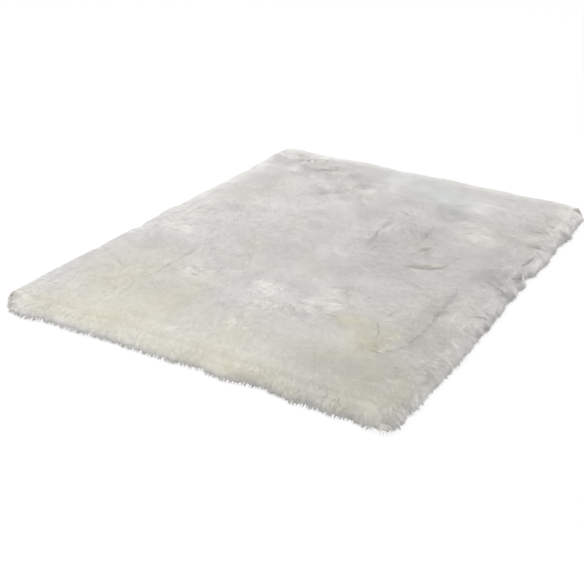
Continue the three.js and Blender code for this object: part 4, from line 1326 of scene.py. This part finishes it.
def ranged(nt, value, low, high, from_low=0.0, from_high=1.0):
    r = nt.nodes.new("ShaderNodeMapRange")
    r.inputs["From Min"].default_value = from_low
    r.inputs["From Max"].default_value = from_high
    r.inputs["To Min"].default_value = low
    r.inputs["To Max"].default_value = high
    nt.links.new(value, r.inputs["Value"])
    return r.outputs["Result"]


def fur_material(name, root, middle, tip, sheen, bump):
    mat, nt, p = node_material(name)
    fur_attr = nt.nodes.new("ShaderNodeAttribute")
    fur_attr.attribute_name = "fur"
    tint_attr = nt.nodes.new("ShaderNodeAttribute")
    tint_attr.attribute_name = "tint"
    f = nt.nodes.new("ShaderNodeSeparateColor")
    nt.links.new(fur_attr.outputs["Color"], f.inputs[0])
    tn = nt.nodes.new("ShaderNodeSeparateColor")
    nt.links.new(tint_attr.outputs["Color"], tn.inputs[0])
    ramp = nt.nodes.new("ShaderNodeValToRGB")
    ramp.color_ramp.elements[0].position = 0.0
    ramp.color_ramp.elements[0].color = (*root, 1)
    ramp.color_ramp.elements[1].position = 1.0
    ramp.color_ramp.elements[1].color = (*tip, 1)
    e = ramp.color_ramp.elements.new(0.42)
    e.color = (*middle, 1)
    nt.links.new(f.outputs["Red"], ramp.inputs["Fac"])
    colour = ramp.outputs["Color"]
    coords = nt.nodes.new("ShaderNodeTexCoord")
    blotch = nt.nodes.new("ShaderNodeTexNoise")
    blotch.inputs["Scale"].default_value = 7.0
    blotch.inputs["Detail"].default_value = 3.0
    nt.links.new(coords.outputs["Object"], blotch.inputs["Vector"])
    for socket, tint in (
        (tn.outputs["Red"], (1.028, 1.01, 0.845)),
        (tn.outputs["Green"], (0.965, 0.925, 0.76)),
        (tn.outputs["Blue"], (0.93, 0.975, 0.985)),
        (tint_attr.outputs["Alpha"], (1.0, 0.965, 0.95)),
    ):
        colour = mixed_colour(nt, socket, colour, mixed_colour(nt, 1.0, colour, tint, "MULTIPLY"))
    # strands, locks, blotches and shade change only how bright it is
    for value, low, high in (
        (f.outputs["Green"], 0.94, 1.05),
        (f.outputs["Blue"], 0.96, 1.035),
        (ranged(nt, blotch.outputs["Fac"], 0, 1, 0.35, 0.65), 0.985, 1.012),
        (fur_attr.outputs["Alpha"], 0.5, 1.5),
    ):
        grey = ranged(nt, value, low, high)
        colour = mixed_colour(nt, 1.0, colour, grey, "MULTIPLY")
    nt.links.new(colour, p.inputs["Base Color"])
    p.inputs["Roughness"].default_value = 0.62
    p.inputs["Specular IOR Level"].default_value = 0.22
    p.inputs["Sheen Weight"].default_value = sheen
    p.inputs["Sheen Roughness"].default_value = 0.45
    if bump:
        fine = nt.nodes.new("ShaderNodeTexNoise")
        fine.inputs["Scale"].default_value = 260.0
        fine.inputs["Detail"].default_value = 4.0
        nt.links.new(coords.outputs["Object"], fine.inputs["Vector"])
        b = nt.nodes.new("ShaderNodeBump")
        b.inputs["Strength"].default_value = 0.7
        b.inputs["Distance"].default_value = 0.003
        nt.links.new(fine.outputs["Fac"], b.inputs["Height"])
        nt.links.new(b.outputs[0], p.inputs["Normal"])
    return mat


pile_mat = fur_material("fur_pile", (0.62, 0.585, 0.52), (0.735, 0.722, 0.692), (0.83, 0.82, 0.803), 0.05, False)
under_mat = fur_material("fur_undercoat", (0.62, 0.585, 0.52), (0.735, 0.722, 0.692), (0.83, 0.82, 0.803), 0.05, True)

# Knitted ground cloth: rows of small loops.
cloth_mat, nt, p = node_material("knitted_ground")
coords = nt.nodes.new("ShaderNodeTexCoord")
rows = nt.nodes.new("ShaderNodeTexWave")
rows.wave_type, rows.bands_direction = "BANDS", "X"
rows.inputs["Scale"].default_value = 160.0
rows.inputs["Distortion"].default_value = 1.2
rows.inputs["Detail"].default_value = 1.0
nt.links.new(coords.outputs["Object"], rows.inputs["Vector"])
cols = nt.nodes.new("ShaderNodeTexWave")
cols.wave_type, cols.bands_direction = "BANDS", "Y"
cols.inputs["Scale"].default_value = 120.0
cols.inputs["Distortion"].default_value = 2.0
cols.inputs["Detail"].default_value = 1.0
nt.links.new(coords.outputs["Object"], cols.inputs["Vector"])
knit = nt.nodes.new("ShaderNodeMath")
knit.operation = "MULTIPLY"
nt.links.new(rows.outputs["Fac"], knit.inputs[0])
nt.links.new(cols.outputs["Fac"], knit.inputs[1])
c = mixed_colour(nt, knit.outputs[0], (0.62, 0.59, 0.53), (0.80, 0.78, 0.73))
nt.links.new(c, p.inputs["Base Color"])
p.inputs["Roughness"].default_value = 0.9
p.inputs["Specular IOR Level"].default_value = 0.15
b = nt.nodes.new("ShaderNodeBump")
b.inputs["Strength"].default_value = 0.5
b.inputs["Distance"].default_value = 0.001
nt.links.new(knit.outputs[0], b.inputs["Height"])
nt.links.new(b.outputs[0], p.inputs["Normal"])

for ob in pieces:
    ob.data.materials.append(pile_mat)
undercoat.data.materials.append(under_mat)
ground.data.materials.append(cloth_mat)

# ---- into the frame --------------------------------------------------------------------

for ob in (*pieces, undercoat, ground):
    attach(ob, "root")
    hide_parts("rug")

# ---- stage, light and camera -----------------------------------------------------------

floor_me = bpy.data.meshes.new("floor")
s_ = 30.0
floor_me.from_pydata([(-s_, -s_, 0), (s_, -s_, 0), (s_, s_, 0), (-s_, s_, 0)], [], [(0, 1, 2, 3)])
floor = bpy.data.objects.new("floor", floor_me)
floor.location.z = -0.0005
scene.collection.objects.link(floor)
floor_mat, nt, p = node_material("pale_floor")
p.inputs["Base Color"].default_value = (0.15, 0.15, 0.15, 1)
p.inputs["Roughness"].default_value = 1.0
p.inputs["Specular IOR Level"].default_value = 0.0
p.inputs["Emission Color"].default_value = (1.0, 1.0, 1.0, 1)
p.inputs["Emission Strength"].default_value = 0.87
floor_me.materials.append(floor_mat)

world = bpy.data.worlds.new("studio")
scene.world = world
world.use_nodes = True
world.node_tree.nodes["Background"].inputs["Color"].default_value = (1.0, 1.0, 1.0, 1)
world.node_tree.nodes["Background"].inputs["Strength"].default_value = 0.8


def area_light(name, place, target, size, power, colour=(1, 1, 1)):
    data = bpy.data.lights.new(name, "AREA")
    data.shape = "SQUARE"
    data.size = size
    data.energy = power
    data.color = colour
    ob = bpy.data.objects.new(name, data)
    ob.location = place
    way = Vector(target) - Vector(place)
    ob.rotation_euler = way.to_track_quat("-Z", "Y").to_euler()
    scene.collection.objects.link(ob)
    return ob


area_light("key", (-1.9, -0.2, 2.6), (0.0, 0.0, 0.0), 2.4, 62)

# The camera: where it stands in the rug's frame, and how it is turned.
camera_data = bpy.data.cameras.new("camera")
camera_data.sensor_width = 36.0
camera_data.lens = 36.0 * 1057.2 / 584.0
camera = bpy.data.objects.new("camera", camera_data)
pitch, yaw, roll = math.radians(25.7), math.radians(-28.72), math.radians(1.91)
way = Vector((math.sin(yaw) * math.cos(pitch), math.cos(yaw) * math.cos(pitch), -math.sin(pitch)))
right = Vector((math.cos(yaw), -math.sin(yaw), 0.0))
up = right.cross(way)
right2 = math.cos(roll) * right + math.sin(roll) * up
up2 = -math.sin(roll) * right + math.cos(roll) * up
place = Vector((1.4144 + SHIFT[0] / 1000, -2.8129 + SHIFT[1] / 1000, 1.394))
camera.matrix_world = Matrix((
    (right2.x, up2.x, -way.x, place.x),
    (right2.y, up2.y, -way.y, place.y),
    (right2.z, up2.z, -way.z, place.z),
    (0, 0, 0, 1),
))
camera_data.clip_end = 100.0
scene.collection.objects.link(camera)
scene.camera = camera

scene.view_settings.view_transform = "Standard"
scene.view_settings.look = "None"
